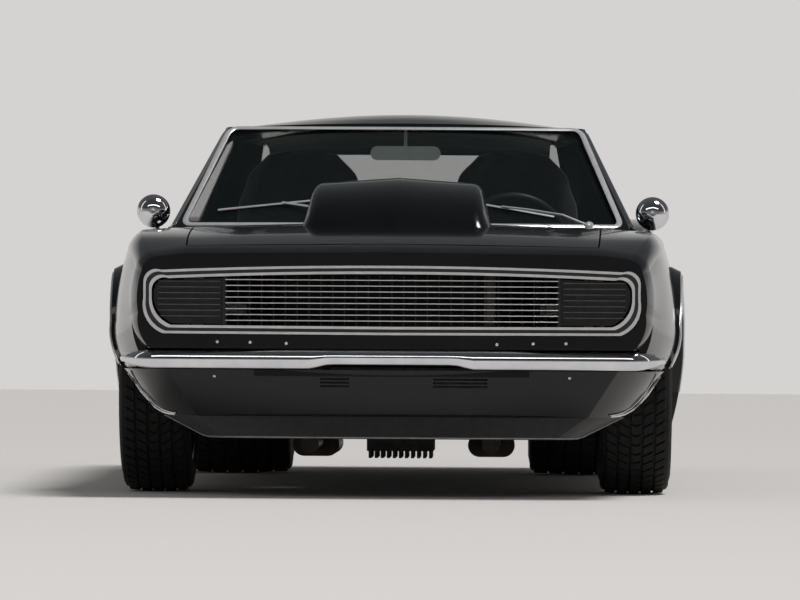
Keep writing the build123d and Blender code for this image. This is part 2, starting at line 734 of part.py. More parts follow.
def make_valance():
    """The panel under the bumper, which goes round to the wheel openings."""
    panel = Solid.make_loft([band_section(valance_low, valance_wall, valance_bottom_z),
                             band_section(valance_high, valance_wall, valance_top_z)], True)
    front_y = valance_high[-1]
    panel = panel + box(-420, 420, front_y + 10.0, rail_front_y - seat_gap, valance_top_z - valance_wall,
                        valance_top_z)
    for x0, x1 in vent_spans:
        for index in range(vent_count):
            z = vent_bottom_z + index * vent_pitch
            panel = panel - box(x0, x1, front_y - 14.0, front_y + 86.0, z, z + vent_height)
    return panel


def make_spoiler():
    """The chin spoiler under the valance."""
    return Solid.make_loft([band_section(spoiler_low, spoiler_wall, spoiler_bottom_z),
                            band_section(spoiler_high, spoiler_wall, valance_bottom_z)], True)


def bumper(points, radii, bottom_z, height):
    """A bumper blade along a path seen from above."""
    path = FilletPolyline(*[(x, y, 0.0) for x, y in points], radius=radii)
    start = path @ 0
    along = path % 0
    plane = Plane(origin=start, x_dir=along.cross(Vector(0, 0, 1)), z_dir=along)
    face = [(0.0, bottom_z + 4.0), (8.0, bottom_z), (bumper_thickness - 4.0, bottom_z + 6.0),
            (bumper_thickness - 4.0, bottom_z + height - 6.0, bumper_thickness, bottom_z + height / 2),
            (8.0, bottom_z + height), (0.0, bottom_z + height - 4.0)]
    section = Face(wire(face, lambda u, v: (u, -v, 0.0)))
    section = plane.location * section
    return sweep(section, path=path)


def make_front_bumper():
    """The front bumper, notched below its middle."""
    slope = atan2(front_bumper_rise, 776.0)
    middle_y = -front_overhang + bumper_thickness - bumper_bend * (1 / cos(slope) - 1)
    corner_y = middle_y + front_bumper_rise
    blade = bumper([(-819, -690), (-778, corner_y), (0, middle_y), (778, corner_y), (819, -690)],
                   [90.0, bumper_bend, 90.0], bumper_bottom_z, bumper_height)
    blade = blade - box(-215, 215, -1000, -800, bumper_bottom_z - 5, bumper_bottom_z + 14)
    for side in (-1, 1):
        low, high = sorted((side * 350, side * 400))
        blade = blade + box(low, high, -898, -700, 400 + seat_gap, 430)
    return blade


def make_rear_bumper():
    """The rear bumper on two brackets."""
    slope = atan2(rear_bumper_rise, 874.0)
    middle_y = rear_end_y - bumper_thickness + bumper_bend * (1 / cos(slope) - 1)
    corner_y = middle_y - rear_bumper_rise
    blade = bumper([(898, corner_y - 185), (874, corner_y), (0, middle_y), (-874, corner_y),
                    (-898, corner_y - 185)], [40.0, bumper_bend, 40.0], rear_bumper_bottom_z,
                   rear_bumper_height)
    for side in (-1, 1):
        low, high = sorted((side * 350, side * 400))
        blade = blade + box(low, high, tail_panel_y + lid_skin + seat_gap, rear_end_y - 25, 490, 530)
    return blade


def make_cowl():
    """The cowl between the hood and the windscreen, with the hood's hinge straps."""
    front_y = hood_rear_y + hood_cowl_gap
    side_y = door_front_y - shut_gap + seat_gap
    plan = [(0.0, front_y), (660.0, front_y), (664.0, side_y), (774.0, side_y), (774.0, 800.0), (0.0, 800.0)]
    cowl = from_above(both_sides(plan), belt_z - 25.0, belt_z)
    swing = hypot(hinge_x() - door_notch_x, door_axis_back) + shut_gap
    for corner in pair(rod((hinge_x(), hinge_y(), belt_z - 30.0), (hinge_x(), hinge_y(), belt_z + 5.0), swing)):
        cowl = cowl - corner
    for x in (-hood_hinge_x, hood_hinge_x):
        cowl = cowl + lid_strap(x, hood_rear_y - lid_axis_inset, hood_axis_z, front_y + 1.0)
    return cowl


def make_rear_deck(outer):
    """The panel between the rear window and the deck lid, with the lid's hinge straps."""
    rear_y = deck_front_y - hood_cowl_gap
    outline = from_above(both_sides([(0.0, 2420.0), (640.0 - seat_gap, 2420.0), (640.0 - seat_gap, rear_y),
                                     (0.0, rear_y)]), 890.0, 1000.0)
    deck = loft(((2410.0, 660.0, 932.0, 942.0), (deck_front_y, 650.0, 938.0, 946.0)), lid_section)
    deck = (deck & outline) - outer
    for x in (-deck_hinge_x, deck_hinge_x):
        deck = deck + lid_strap(x, deck_front_y + lid_axis_inset, deck_axis_z, rear_y - 1.0)
    return deck


def make_tail_panel():
    """The panel across the tail."""
    outline = body_outline(quarter_rows[-1], 0.0)
    return from_front(outline, tail_panel_y + seat_gap, tail_panel_y + lid_skin)


def make_rear_seat():
    """The rear bench between the wheel tubs."""
    y = rear_axle_y - 412.0
    low = floor_z + 20.0 + seat_gap
    high = axle_floor_z + 20.0 + seat_gap
    bench = [(y - 200.0, low), (y - 20.0 - seat_gap, low), (y - 20.0 - seat_gap, high), (y + 330.0, high),
             (y + 385.0, 850.0), (y + 300.0, 860.0), (y + 200.0, 640.0), (y - 190.0, 600.0)]
    return from_side(bench, -390.0, 390.0)


# Wheels, steering and axles


def wheel_profile(points):
    """A ring about the wheel's own axis, X, from its half section (x, radius)."""
    face = Face(wire(points, lambda x, radius: (x, 0.0, radius)))
    return Solid.revolve(face, 360.0, Axis.X)


def make_tyre(radius, width):
    """A tyre as a closed ring, its axis along X."""
    bead = width / 2 - bead_inset
    edge = width / 2
    lift = rim_radius + 14.0
    shoulder = (width / 2 - 20.0, radius - 6.0)
    points = [(-bead, rim_radius), (bead, rim_radius), (bead, lift),
              (edge, (lift + radius) / 2, edge - 5.0, (3 * lift + radius) / 4), (edge - 4.0, radius - 26.0),
              (*shoulder, edge - 8.0, radius - 13.0), (-shoulder[0], shoulder[1], 0.0, radius),
              (-edge + 4.0, radius - 26.0, -edge + 8.0, radius - 13.0), (-edge, (lift + radius) / 2),
              (-bead, lift, -edge + 5.0, (3 * lift + radius) / 4)]
    return wheel_profile(points)


def make_wheel(width, face_x, disc_x):
    """A five-spoke wheel with its brake disc, its axis along X."""
    bead = width / 2 - bead_inset
    outer = rim_radius - seat_gap
    lip = rim_radius + 12.0
    flange = bead + seat_gap
    points = [(-flange - 8.0, outer - rim_wall), (flange + 8.0, outer - rim_wall), (flange + 8.0, lip),
              (flange, lip), (flange, outer), (-flange, outer), (-flange, lip), (-flange - 8.0, lip)]
    rim = wheel_profile(points)
    hub = rod((disc_x, 0, 0), (face_x + 34.0, 0, 0), 58.0)
    disc = rod((disc_x, 0, 0), (disc_x + disc_thickness, 0, 0), disc_radius)
    spoke = [(-30.0, 50.0), (30.0, 50.0), (20.0, outer - 5.0), (-20.0, outer - 5.0)]
    spokes = []
    for index in range(5):
        blade = from_side(spoke, face_x, face_x + 26.0)
        spokes.append(blade.rotate(Axis.X, 72.0 * index))
    body = rim.fuse(hub, disc, *spokes)
    return body - rod((disc_x - 1.0, 0, 0), (face_x + 20.0, 0, 0), spindle_radius + seat_gap)


def make_knuckle():
    """The left steering knuckle with its spindle."""
    z = front_tyre_radius
    post = rod((kingpin_x, 0, z - 103.0 + seat_gap), (kingpin_x, 0, z + 105.0 - seat_gap), 18.0)
    spindle = rod((kingpin_x, 0, z), (front_wheel_x + 60.0, 0, z), spindle_radius)
    arm = box(kingpin_x - 12.0, kingpin_x + 12.0, 0.0, 130.0, z - 60.0, z - 42.0)
    return post + spindle + arm


# Lids and doors


def lid_hinge_holes(x, y, z, toward_rear):
    """The notch in a lid's edge round one hinge."""
    reach = 13.0
    ends = (y - reach, y + 20.0) if toward_rear else (y - 20.0, y + reach)
    return box(x - lid_pocket_width / 2, x + lid_pocket_width / 2, *ends, z - 60.0, z + 60.0)


def lid_pin(x, y, z):
    """The pin that crosses the notch."""
    reach = lid_pocket_width / 2 + 6.0
    return rod((x - reach, y, z), (x + reach, y, z), lid_pin_radius)


def lid_strap(x, y, z, end_y):
    """The fixed strap whose eye goes round the pin."""
    half = lid_hinge_width / 2
    eye = rod((x - half, y, z), (x + half, y, z), lid_eye_radius)
    low, high = sorted((y, end_y))
    arm = box(x - half, x + half, low, high, z - lid_eye_radius, z)
    return eye + arm - rod((x - half - 1, y, z), (x + half + 1, y, z), lid_pin_radius + seat_gap)


def make_hood():
    """The hood with its scoop, open to the windscreen."""
    lid = loft(hood_rows, lid_section)
    outer = loft(scoop_rows, scoop_section)
    tunnel_rows = [(row[0] + 60.0, *row[1:]) for row in scoop_rows]
    tunnel = loft(tunnel_rows, lambda row: scoop_section(row, scoop_wall))
    below = from_side([(-400.0, 700.0), (600.0, 700.0), (600.0, 835.0), (-400.0, 820.0)], -400.0, 400.0)
    hood = lid + (outer - below) - tunnel
    axis_y = hood_rear_y - lid_axis_inset
    for x in (-hood_hinge_x, hood_hinge_x):
        hood = hood - lid_hinge_holes(x, axis_y, hood_axis_z, True)
        hood = hood + lid_pin(x, axis_y, hood_axis_z)
    return hood


def make_deck_lid():
    """The boot's lid."""
    lid = loft(deck_rows, lid_section)
    axis_y = deck_front_y + lid_axis_inset
    for x in (-deck_hinge_x, deck_hinge_x):
        lid = lid - lid_hinge_holes(x, axis_y, deck_axis_z, False)
        lid = lid + lid_pin(x, axis_y, deck_axis_z)
    return lid


def make_door(glass_slot):
    """The left door with its two hinge pins."""
    door = loft(door_rows, door_section)
    door = door - box(door_inner_x - 45.0, door_notch_x, door_front_y - 10, 812, 812, 900) - glass_slot
    for z in hinge_heights:
        half = hinge_pocket_height / 2
        reach = hinge_eye_radius + hinge_clearance
        door = door - box(door_inner_x - 5, hinge_x() + reach, door_front_y - 5, hinge_y() + reach,
                          z - half, z + half)
        door = door + rod((hinge_x(), hinge_y(), z - half - 15), (hinge_x(), hinge_y(), z + half + 15),
                          hinge_pin_radius)
    return door


def make_door_handle(door):
    """The left door's pull handle on two posts that end on the skin."""
    front = door_rear_y - handle_back
    top = handle_z + handle_height
    bar_x = half_width - 25.0
    bar = box(bar_x, bar_x + 9.0, front, front + handle_length, handle_z, top)
    for y in (front + 5.0, front + handle_length - 20.0):
        bar = bar + box(bar_x - 31.0, bar_x + 1.0, y, y + 15.0, handle_z + 3.0, top - 3.0)
    return bar - door


def make_rocker():
    """The left rocker panel under the door, from the front fender to the rear wheel opening."""
    low = (rocker_low_x, rocker_bottom_z)
    high = (rocker_high_x, rocker_top_z)
    inner_x = rocker_inner_x + seat_gap
    points = [(inner_x, rocker_top_z), (inner_x, rocker_bottom_z), low, bow(low, high, rocker_bulge)]
    return from_front(points, door_front_y - shut_gap + seat_gap, rear_axle_y - rear_arch_radius - shut_gap)


def door_straps():
    """The straps on the left hinge pillar that hold the door's pins."""
    straps = []
    for z in hinge_heights:
        half = hinge_strap_height / 2
        eye = rod((hinge_x(), hinge_y(), z - half), (hinge_x(), hinge_y(), z + half), hinge_eye_radius)
        across = box(half_width - 121.0, hinge_x(), hinge_y() - 8, hinge_y() + 8, z - half, z + half)
        along = box(half_width - 121.0, half_width - 105.0, door_front_y - 30, hinge_y() + 8, z - half, z + half)
        bore = rod((hinge_x(), hinge_y(), z - half - 1), (hinge_x(), hinge_y(), z + half + 1),
                   hinge_pin_radius + seat_gap)
        straps.append(eye + across + along - bore)
    return straps


# Structure under the body


def both_boxes(x0, x1, y0, y1, z0, z1):
    """A box on the left and its mirror image."""
    return pair(box(x0, x1, y0, y1, z0, z1))


def make_underbody():
    """Floor, tunnel, firewall, rails, rockers, hinge pillars and wheel tubs in one piece."""
    tub_front = rear_axle_y - tub_radius
    tub_rear = rear_axle_y + tub_radius
    firewall_y = engine_span[1] + 170.0
    thick = floor_thickness
    link_x = tub_inner_x - 9.0
    pieces = [
        box(-floor_half_width, floor_half_width, firewall_y, tub_front, floor_z, floor_z + thick),
        box(-tunnel_half_width, tunnel_half_width, firewall_y, 2120, floor_z + thick, tunnel_top_z),
        box(-door_inner_x, door_inner_x, firewall_y, firewall_y + 25, floor_z, 790),
        box(-655, 655, firewall_y, firewall_y + 25, 780, 833),
        box(-link_x, link_x, tub_front - thick, tub_rear, axle_floor_z, axle_floor_z + thick),
        box(-link_x, link_x, tub_front - thick, tub_front, floor_z, axle_floor_z),
        box(-link_x, link_x, tub_rear - thick, tub_rear, boot_floor_z, axle_floor_z),
        box(-link_x, link_x, tub_rear - thick, tail_panel_y, boot_floor_z, boot_floor_z + thick),
    ]
    for row in side_boxes:
        pieces += both_boxes(*row)
    floor = pieces[0].fuse(*pieces[1:])
    centre = (rear_axle_y, rear_tyre_radius)
    tub = rod((tub_inner_x, *centre), (tub_outer_x, *centre), tub_radius)
    tub = tub - rod((tub_inner_x + 12.0, *centre), (half_width, *centre), tub_radius - tub_wall)
    tub = tub - box(300, 1000, tub_front - 5, tub_rear + 5, -100, rear_tyre_radius)
    link = box(link_x - 15.0, tub_inner_x + 1.0, tub_front, tub_rear, axle_floor_z, axle_floor_z + thick)
    for piece in pair(tub + link):
        floor = floor + piece
    for piece in both_boxes(405, 480, -95, 95, 385, front_tyre_radius + 128):
        floor = floor - piece
    for piece in both_boxes(tub_inner_x - 2.0, tub_inner_x + 16.0, rear_axle_y - 50, rear_axle_y + 50, 240,
                            rear_tyre_radius + 50):
        floor = floor - piece
    for strap in door_straps():
        for piece in pair(strap):
            floor = floor + piece
    pad_x = rocker_inner_x - 5.0
    for y in jack_pad_stations:
        for piece in both_boxes(pad_x - 2.0 * jack_pad_half, pad_x, y - jack_pad_half, y + jack_pad_half,
                                rocker_bottom_z - jack_pad_drop, floor_z + 1.0):
            floor = floor + piece
    return floor


def make_front_subframe():
    """The crossmember with its towers and control arms."""
    z = front_tyre_radius
    frame = box(-470, 470, -70, 70, 225, 300)
    for side in (-1, 1):
        low, high = sorted((side * 420, side * 470))
        frame = frame + box(low, high, -60, 60, 290, z + 125)
        for z0, z1 in ((z - 125, z - 103), (z + 105, z + 123)):
            arm = [(side * 440, -90), (side * (kingpin_x - 20), -28), (side * (kingpin_x + 22), -18),
                   (side * (kingpin_x + 22), 18), (side * (kingpin_x - 20), 28), (side * 440, 90)]
            frame = frame + from_above(arm, z0, z1)
        low, high = sorted((side * 430, side * 470))
        frame = frame + box(low, high, -90, 90, z - 125, 240)
        frame = frame + box(low, high, -90, 90, z + 105, z + 123)
    return frame


def make_rear_axle():
    """Axle tube, differential, spindles, two coil-over struts and two trailing links."""
    z = rear_tyre_radius
    y = rear_axle_y
    end = rear_wheel_x - 95.0
    axle = rod((-end, y, z), (end, y, z), 40.0)
    axle = axle + Pos(0, y, z) * Sphere(135)
    reach = rear_wheel_x + 60.0 + 20.0 - seat_gap
    axle = axle + rod((-reach, y, z), (reach, y, z), spindle_radius)
    axle = axle + rod((0, y - 250, z), (0, y, z), 50.0)
    for side in (-1, 1):
        x = side * 300.0
        axle = axle + rod((x, y, z), (x, y, axle_floor_z - seat_gap), 34.0)
        axle = axle + rod((x, y, z - 25), (x, y - 412.0 + 4.0, z - 45), 16.0)
    return axle


def make_engine():
    """The engine as one plain block, with the front of the gearbox behind it."""
    front, rear = engine_span
    low, high = engine_heights
    block = box(-engine_half_width, engine_half_width, front, rear, low, high)
    return block + box(-120, 120, rear, rear + 165, low, low + 320)


def make_gearbox():
    """The gearbox under the tunnel with a finned pan."""
    front, rear = gearbox_span
    case = box(-110, 110, front, rear, gearbox_bottom_z, floor_z)
    fins = []
    for index in range(fin_count):
        x = (index - (fin_count - 1) / 2) * fin_pitch
        fins.append(box(x - fin_pitch / 4, x + fin_pitch / 4, front + 40, rear - 80, gearbox_bottom_z - 24,
                        gearbox_bottom_z + 1))
    return case.fuse(*fins)


def make_exhaust():
    """Two pipes with an oval silencer each, on hangers under the floor."""
    front, rear = exhaust_span
    pipe = rod((exhaust_x, front, exhaust_z), (exhaust_x, rear, exhaust_z), exhaust_radius)
    inner = exhaust_x - silencer_flat
    outer = exhaust_x + silencer_flat
    low = silencer_z - silencer_flat
    high = silencer_z + silencer_flat
    oval = [(inner, low, inner - silencer_flat, silencer_z), (outer, low),
            (outer, high, outer + silencer_flat, silencer_z), (inner, high)]
    system = pipe + from_front(oval, *silencer_span)
    half = hanger_width / 2
    for y, low in ((front + 60, exhaust_z), (silencer_span[0] + 250, high - 10.0), (rear - 80, exhaust_z)):
        system = system + box(exhaust_x - half, exhaust_x + half, y, y + hanger_width, low, floor_z)
    return pair(system)


def make_seat(x):
    """A high-backed bucket seat."""
    front, rear = cushion_span
    cushion = box(x - cushion_half_width, x + cushion_half_width, front, rear, *cushion_heights)
    base = box(x - 180, x + 180, front + 40, rear - 60, floor_z + floor_thickness, seat_base_top_z + 1)
    back = from_front(both_sides(list(seat_back)), 1500.0, 1900.0).moved(Location((x, 0, 0)))
    lean = from_side(list(seat_lean), x - 300, x + 300)
    return cushion + base + (back & lean)


def make_dashboard():
    """Dashboard and steering column."""
    dash = from_side(list(dash_outline), -dash_half_width, dash_half_width)
    centre, axis = steering_line()
    start = centre + axis * 40.0
    column = rod(tuple(start + axis * seat_gap), tuple(start + axis * 250.0), column_radius)
    mounts = box(-60, 60, 615, 770, 660, 700)
    return dash + column + mounts


def steering_line():
    """The steering wheel's centre, and the direction of its column away from the driver."""
    tilt = radians(steering_tilt)
    return (Vector(steering_wheel_x, steering_wheel_y, steering_wheel_z),
            Vector(0, -sin(tilt), -cos(tilt)))


def make_steering_wheel():
    """A three-spoke steering wheel."""
    centre, axis = steering_line()
    plane = Plane(origin=centre, z_dir=axis, x_dir=(1, 0, 0))
    rim = Solid.make_torus(steering_wheel_radius, steering_rim_radius, plane)
    hub = rod(tuple(centre - axis * 5.0), tuple(centre + axis * 40.0), 34.0)
    up = axis.cross(Vector(1, 0, 0))
    wheel = rim + hub
    for angle in (0.0, 180.0, 270.0):
        way = Vector(1, 0, 0) * cos(radians(angle)) + up * sin(radians(angle))
        wheel = wheel + rod(tuple(centre + axis * 8.0), tuple(centre + axis * 4.0
                                                             + way * steering_wheel_radius), 8.0)
    return wheel


def make_mirror():
    """The left door mirror, a round domed shell on a short foot."""
    x, y, z = door_mirror_at
    tip = y - door_mirror_depth
    radius = door_mirror_radius
    half = [(0.0, tip), (radius, y - 14.0, 0.78 * radius, tip + 0.27 * door_mirror_depth),
            (radius - 3.0, y), (0.0, y)]
    face = Face(wire(half, lambda away, along: (x + away, along, z)))
    head = Solid.revolve(face, 360.0, Axis((x, 0.0, z), (0.0, 1.0, 0.0)))
    foot = rod((x, y - 5.0, z), (x - 9.0, y + 10.0, 852.0), 11.0)
    return head + foot


def make_inside_mirror(roof):
    """The mirror behind the windscreen, on a stalk from the roof."""
    x, y, z = inside_mirror_at
    half = inside_mirror_width / 2
    round_end = inside_mirror_height / 2
    flat = half - round_end
    outline = [(x - flat, z - round_end, x - half, z), (x + flat, z - round_end),
               (x + flat, z + round_end, x + half, z), (x - flat, z + round_end)]
    head = from_front(outline, y, y + 16.0)
    stalk = rod((x, y + 8.0, z + round_end - 4.0), (x, y - 8.0, 1230.0), 6.0)
    return head + (stalk - roof)


def build():
    """Every piece by its name."""
    parts = {}
    outer = cabin_outer()
    parts["roof"] = make_roof(outer)
    layer = glass_layer(0.0)
    windscreen, rear_window, quarter_glass, door_glass = make_glass(layer)
    parts["windshield"] = windscreen
    parts["rear_window"] = rear_window
    parts["quarter_windows"] = pair(quarter_glass)
    slot = glass_layer(seat_gap) & box(500, half_width, 820, door_rear_y + 1, belt_z, belt_z + 90)
    arch = rod((600, 0, front_arch_z), (1000, 0, front_arch_z), front_arch_radius)
    arch = arch + box(600, 1000, -front_arch_radius, front_arch_radius, 0, front_arch_z)
    fender = loft(fender_rows, skin_section) - arch
    fender = fender - from_front(body_outline(fender_rows[-1], fender_hem), door_front_y - fender_hem_length,
                                 door_front_y)
    fender = fender + make_lip(fender_rows, front_lip_rows, (0.0, front_arch_z), front_arch_radius, 402.0, 218.0)
    door = make_door(slot)
    mirror_head = make_mirror()
    quarter = loft(quarter_rows, skin_section) - outer
    rear_arch = rod((600, rear_axle_y, rear_tyre_radius), (1000, rear_axle_y, rear_tyre_radius),
                    rear_arch_radius)
    rear_arch = rear_arch + box(600, 1000, rear_axle_y - rear_arch_radius, rear_axle_y + rear_arch_radius,
                                0, rear_tyre_radius)
    deck_hole = from_above(both_sides([(0.0, 2300.0), (640.0, 2300.0), (640.0, deck_front_y),
                                       (606.0, tail_panel_y + 1), (0.0, tail_panel_y + 1)]), 800, 1000)
    quarter = quarter - rear_arch - deck_hole
    quarter = quarter + make_lip(quarter_rows, rear_lip_rows, (rear_axle_y, rear_tyre_radius), rear_arch_radius,
                                 300.0, 312.0)
    handle = make_door_handle(door)
    for side, place in (("left", lambda s: s), ("right", other_side)):
        parts["front_fender_" + side] = place(fender)
        parts["door_" + side] = place(door)
        parts["door_glass_" + side] = place(door_glass)
        parts["door_mirror_" + side] = place(mirror_head)
        parts["door_handle_" + side] = place(handle)
        parts["quarter_panel_" + side] = place(quarter)
        parts["headlamp_door_" + side] = place(make_lamp_door())
        parts["knuckle_" + side] = place(make_knuckle())
    parts["rocker_panels"] = pair(make_rocker())
    parts["inside_mirror"] = make_inside_mirror(parts["roof"])
    parts["headlamps"] = pair(make_headlamp())
    parts["hood"] = make_hood()
    parts["deck_lid"] = make_deck_lid()
    parts["nose_panel"] = make_nose()
    parts["grille_frame"] = make_grille_frame()
    parts["grille_trim"] = make_grille_trim()
    parts["grille"] = make_grille()
    parts["front_valance"] = make_valance()
    parts["chin_spoiler"] = make_spoiler()
    parts["front_bumper"] = make_front_bumper()
    parts["rear_bumper"] = make_rear_bumper()
    parts["cowl_panel"] = make_cowl()
    parts["rear_deck_panel"] = make_rear_deck(outer)
    parts["tail_panel"] = make_tail_panel()
    parts["tail_lamps"] = pair(box(430, 720, tail_panel_y + lid_skin + seat_gap, tail_panel_y + lid_skin + 10,
                                   650, 770))
    parts["underbody"] = make_underbody()
    parts["front_subframe"] = make_front_subframe()
    parts["rear_axle"] = make_rear_axle()
    parts["engine"] = make_engine()
    parts["gearbox"] = make_gearbox()
    parts["radiator"] = box(-345, 345, -700, -650, 400 + seat_gap, 720)
    parts["exhaust"] = make_exhaust()
    parts["fuel_tank"] = box(-290, 290, rear_axle_y + 440, rear_axle_y + 840, 225, 420 - seat_gap)
    parts["dashboard"] = make_dashboard()
    parts["steering_wheel"] = make_steering_wheel()
    parts["front_seats"] = pair(make_seat(steering_wheel_x))
    parts["rear_seat"] = make_rear_seat()
    front = make_wheel(front_tyre_width, 46.0, -36.0)
    rear = make_wheel(rear_tyre_width, 60.0, -80.0)
    for side, place in (("left", lambda s: s), ("right", other_side)):
        for end, wheel, radius, width, x, y in (
            ("front", front, front_tyre_radius, front_tyre_width, front_wheel_x, 0.0),
            ("rear", rear, rear_tyre_radius, rear_tyre_width, rear_wheel_x, rear_axle_y),
        ):
            spot = Location((x, y, radius))
            parts["tyre_" + end + "_" + side] = place(make_tyre(radius, width).moved(spot))
            parts["wheel_" + end + "_" + side] = place(wheel.moved(spot))
    return parts


os.makedirs("parts", exist_ok=True)
to_middle = Location((0, -(rear_end_y - front_overhang) / 2, 0))
for name, shape in build().items():
    solids = shape if isinstance(shape, list) else list(shape.solids())
    export_step(Compound(children=[solid.moved(to_middle) for solid in solids]), "parts/" + name + ".step")
    print(name, len(solids), "solids", round(sum(solid.volume for solid in solids) / 1e6, 3), "litres")
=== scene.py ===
# %% [markdown]
# # A black two-door muscle car
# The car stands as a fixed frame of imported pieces. This lesson dresses it: paint, chrome, rubber, glass and
# the small trim that a shape alone can't show. Lengths are in metres, +Z is up and the car faces -Y.

# %% Load the frame
from math import cos, pi, radians, sin

import bmesh
import bpy
from mathutils import Matrix, Vector
from mathutils.bvhtree import BVHTree


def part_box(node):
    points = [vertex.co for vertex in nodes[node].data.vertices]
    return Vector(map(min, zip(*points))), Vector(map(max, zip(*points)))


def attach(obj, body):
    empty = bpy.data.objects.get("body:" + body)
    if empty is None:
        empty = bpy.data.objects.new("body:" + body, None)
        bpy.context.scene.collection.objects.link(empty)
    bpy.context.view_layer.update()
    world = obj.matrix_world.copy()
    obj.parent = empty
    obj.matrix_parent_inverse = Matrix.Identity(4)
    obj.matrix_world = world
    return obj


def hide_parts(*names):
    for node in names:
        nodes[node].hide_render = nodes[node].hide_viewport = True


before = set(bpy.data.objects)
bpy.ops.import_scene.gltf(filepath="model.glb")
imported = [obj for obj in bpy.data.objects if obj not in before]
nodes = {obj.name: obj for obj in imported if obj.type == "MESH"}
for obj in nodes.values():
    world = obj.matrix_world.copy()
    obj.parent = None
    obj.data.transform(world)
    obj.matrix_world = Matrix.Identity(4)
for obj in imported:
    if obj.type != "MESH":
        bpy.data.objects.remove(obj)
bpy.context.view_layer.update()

# %% [markdown]
# ## The camera
# The photograph is taken low, from far ahead with a long lens, so the car looks flat and wide. A camera
# could be moved by eye until it fits. Here the distance follows from how much smaller the rear tyres look
# than the front ones, and the lens from the width of the front track, because those are real sizes.

# %% Place the camera
FRONT_AXLE_Y = -1.4135
REAR_AXLE_Y = 1.3295
CAMERA_DISTANCE = 18.0
CAMERA_HEIGHT = 0.460
CAMERA_SIDE_ANGLE = radians(1.1)
CAMERA_ROLL = radians(0.35)
PIXELS_PER_RADIAN = 5627.0
PHOTO_WIDTH = 800
PHOTO_HEIGHT = 600
HORIZON_ROW = 348.3
SENSOR_WIDTH = 36.0
AXLE_OFFSET = 0.008

bpy.context.scene.view_settings.view_transform = "Standard"
camera_data = bpy.data.cameras.new("photo_camera")
camera_data.sensor_width = SENSOR_WIDTH
camera_data.lens = PIXELS_PER_RADIAN / PHOTO_WIDTH * SENSOR_WIDTH
camera_data.clip_end = 200.0
camera = bpy.data.objects.new("photo_camera", camera_data)
bpy.context.scene.collection.objects.link(camera)
bpy.context.scene.camera = camera
camera.location = (CAMERA_DISTANCE * sin(CAMERA_SIDE_ANGLE),
                   FRONT_AXLE_Y - CAMERA_DISTANCE * cos(CAMERA_SIDE_ANGLE), CAMERA_HEIGHT)
rise = (HORIZON_ROW - PHOTO_HEIGHT / 2) / PIXELS_PER_RADIAN * CAMERA_DISTANCE
aim = Vector((AXLE_OFFSET, FRONT_AXLE_Y, CAMERA_HEIGHT + rise))
look = (aim - camera.location).to_track_quat("-Z", "Y")
camera.rotation_euler = (look.to_matrix() @ Matrix.Rotation(CAMERA_ROLL, 3, "Z")).to_euler()
print("lens", round(camera_data.lens, 1), "mm at", [round(v, 3) for v in camera.location])

# %% [markdown]
# ## Floor and light
# A black car shows mostly what it reflects. A pale floor and a pale horizon give its edges long highlights,
# and a dark ceiling keeps the hood black. The horizon is bright for the camera and for reflections only, so
# it doesn't light the car more. One soft sun and three long soft lamps give the light itself, and draw
# bright lines on the chrome.

# %% Floor, surround and lamps
FLOOR_COLOUR = (0.62, 0.60, 0.58, 1.0)
SURROUND_COLOUR = (0.66, 0.65, 0.64, 1.0)
CEILING_COLOUR = (0.10, 0.105, 0.11, 1.0)
LIT_STRENGTH = 0.34
# The surround as it is seen: pale up to the first height, dark above the second, and dimmer in front.
PALE_TO = 0.07
DARK_FROM = 0.26
FRONT_SHARE = 0.30
FLOOR_SIZE = 80.0
SUN_STRENGTH = 2.5
SUN_ANGLE = radians(20.0)
SUN_FROM = Vector((0.40, -0.12, 1.0))


def link(node_tree, source, output, target, entry):
    """Join an output of one node to an input of another."""
    node_tree.links.new(source.outputs[output], target.inputs[entry])


def show_to_eye(tree, lit, seen, output):
    """Use one shader for light and another for the camera, reflections and what shows through glass."""
    path = tree.nodes.new("ShaderNodeLightPath")
    either = tree.nodes.new("ShaderNodeMath")
    either.operation = "MAXIMUM"
    every = tree.nodes.new("ShaderNodeMath")
    every.operation = "MAXIMUM"
    mix = tree.nodes.new("ShaderNodeMixShader")
    link(tree, path, "Is Camera Ray", either, 0)
    link(tree, path, "Is Glossy Ray", either, 1)
    link(tree, either, 0, every, 0)
    link(tree, path, "Is Transmission Ray", every, 1)
    link(tree, every, 0, mix, 0)
    link(tree, lit, 0, mix, 1)
    link(tree, seen, 0, mix, 2)
    link(tree, mix, 0, output, 0)


world = bpy.data.worlds.new("pale_surround")
bpy.context.scene.world = world
world.use_nodes = True
tree = world.node_tree
tree.nodes.clear()
lit = tree.nodes.new("ShaderNodeBackground")
lit.inputs["Color"].default_value = SURROUND_COLOUR
lit.inputs["Strength"].default_value = LIT_STRENGTH
way = tree.nodes.new("ShaderNodeTexCoord")
split = tree.nodes.new("ShaderNodeSeparateXYZ")
front = tree.nodes.new("ShaderNodeMapRange")
front.inputs["From Min"].default_value = -1.0
front.inputs["From Max"].default_value = 0.6
front.inputs["To Min"].default_value = FRONT_SHARE
front.inputs["To Max"].default_value = 1.0
link(tree, split, "Y", front, "Value")
fade = tree.nodes.new("ShaderNodeValToRGB")
fade.color_ramp.elements[0].position = PALE_TO
fade.color_ramp.elements[0].color = SURROUND_COLOUR
fade.color_ramp.elements[1].position = DARK_FROM
fade.color_ramp.elements[1].color = CEILING_COLOUR
seen = tree.nodes.new("ShaderNodeBackground")
link(tree, way, "Generated", split, "Vector")
link(tree, split, "Z", fade, "Fac")
link(tree, fade, "Color", seen, "Color")
link(tree, front, "Result", seen, "Strength")
show_to_eye(tree, lit, seen, tree.nodes.new("ShaderNodeOutputWorld"))

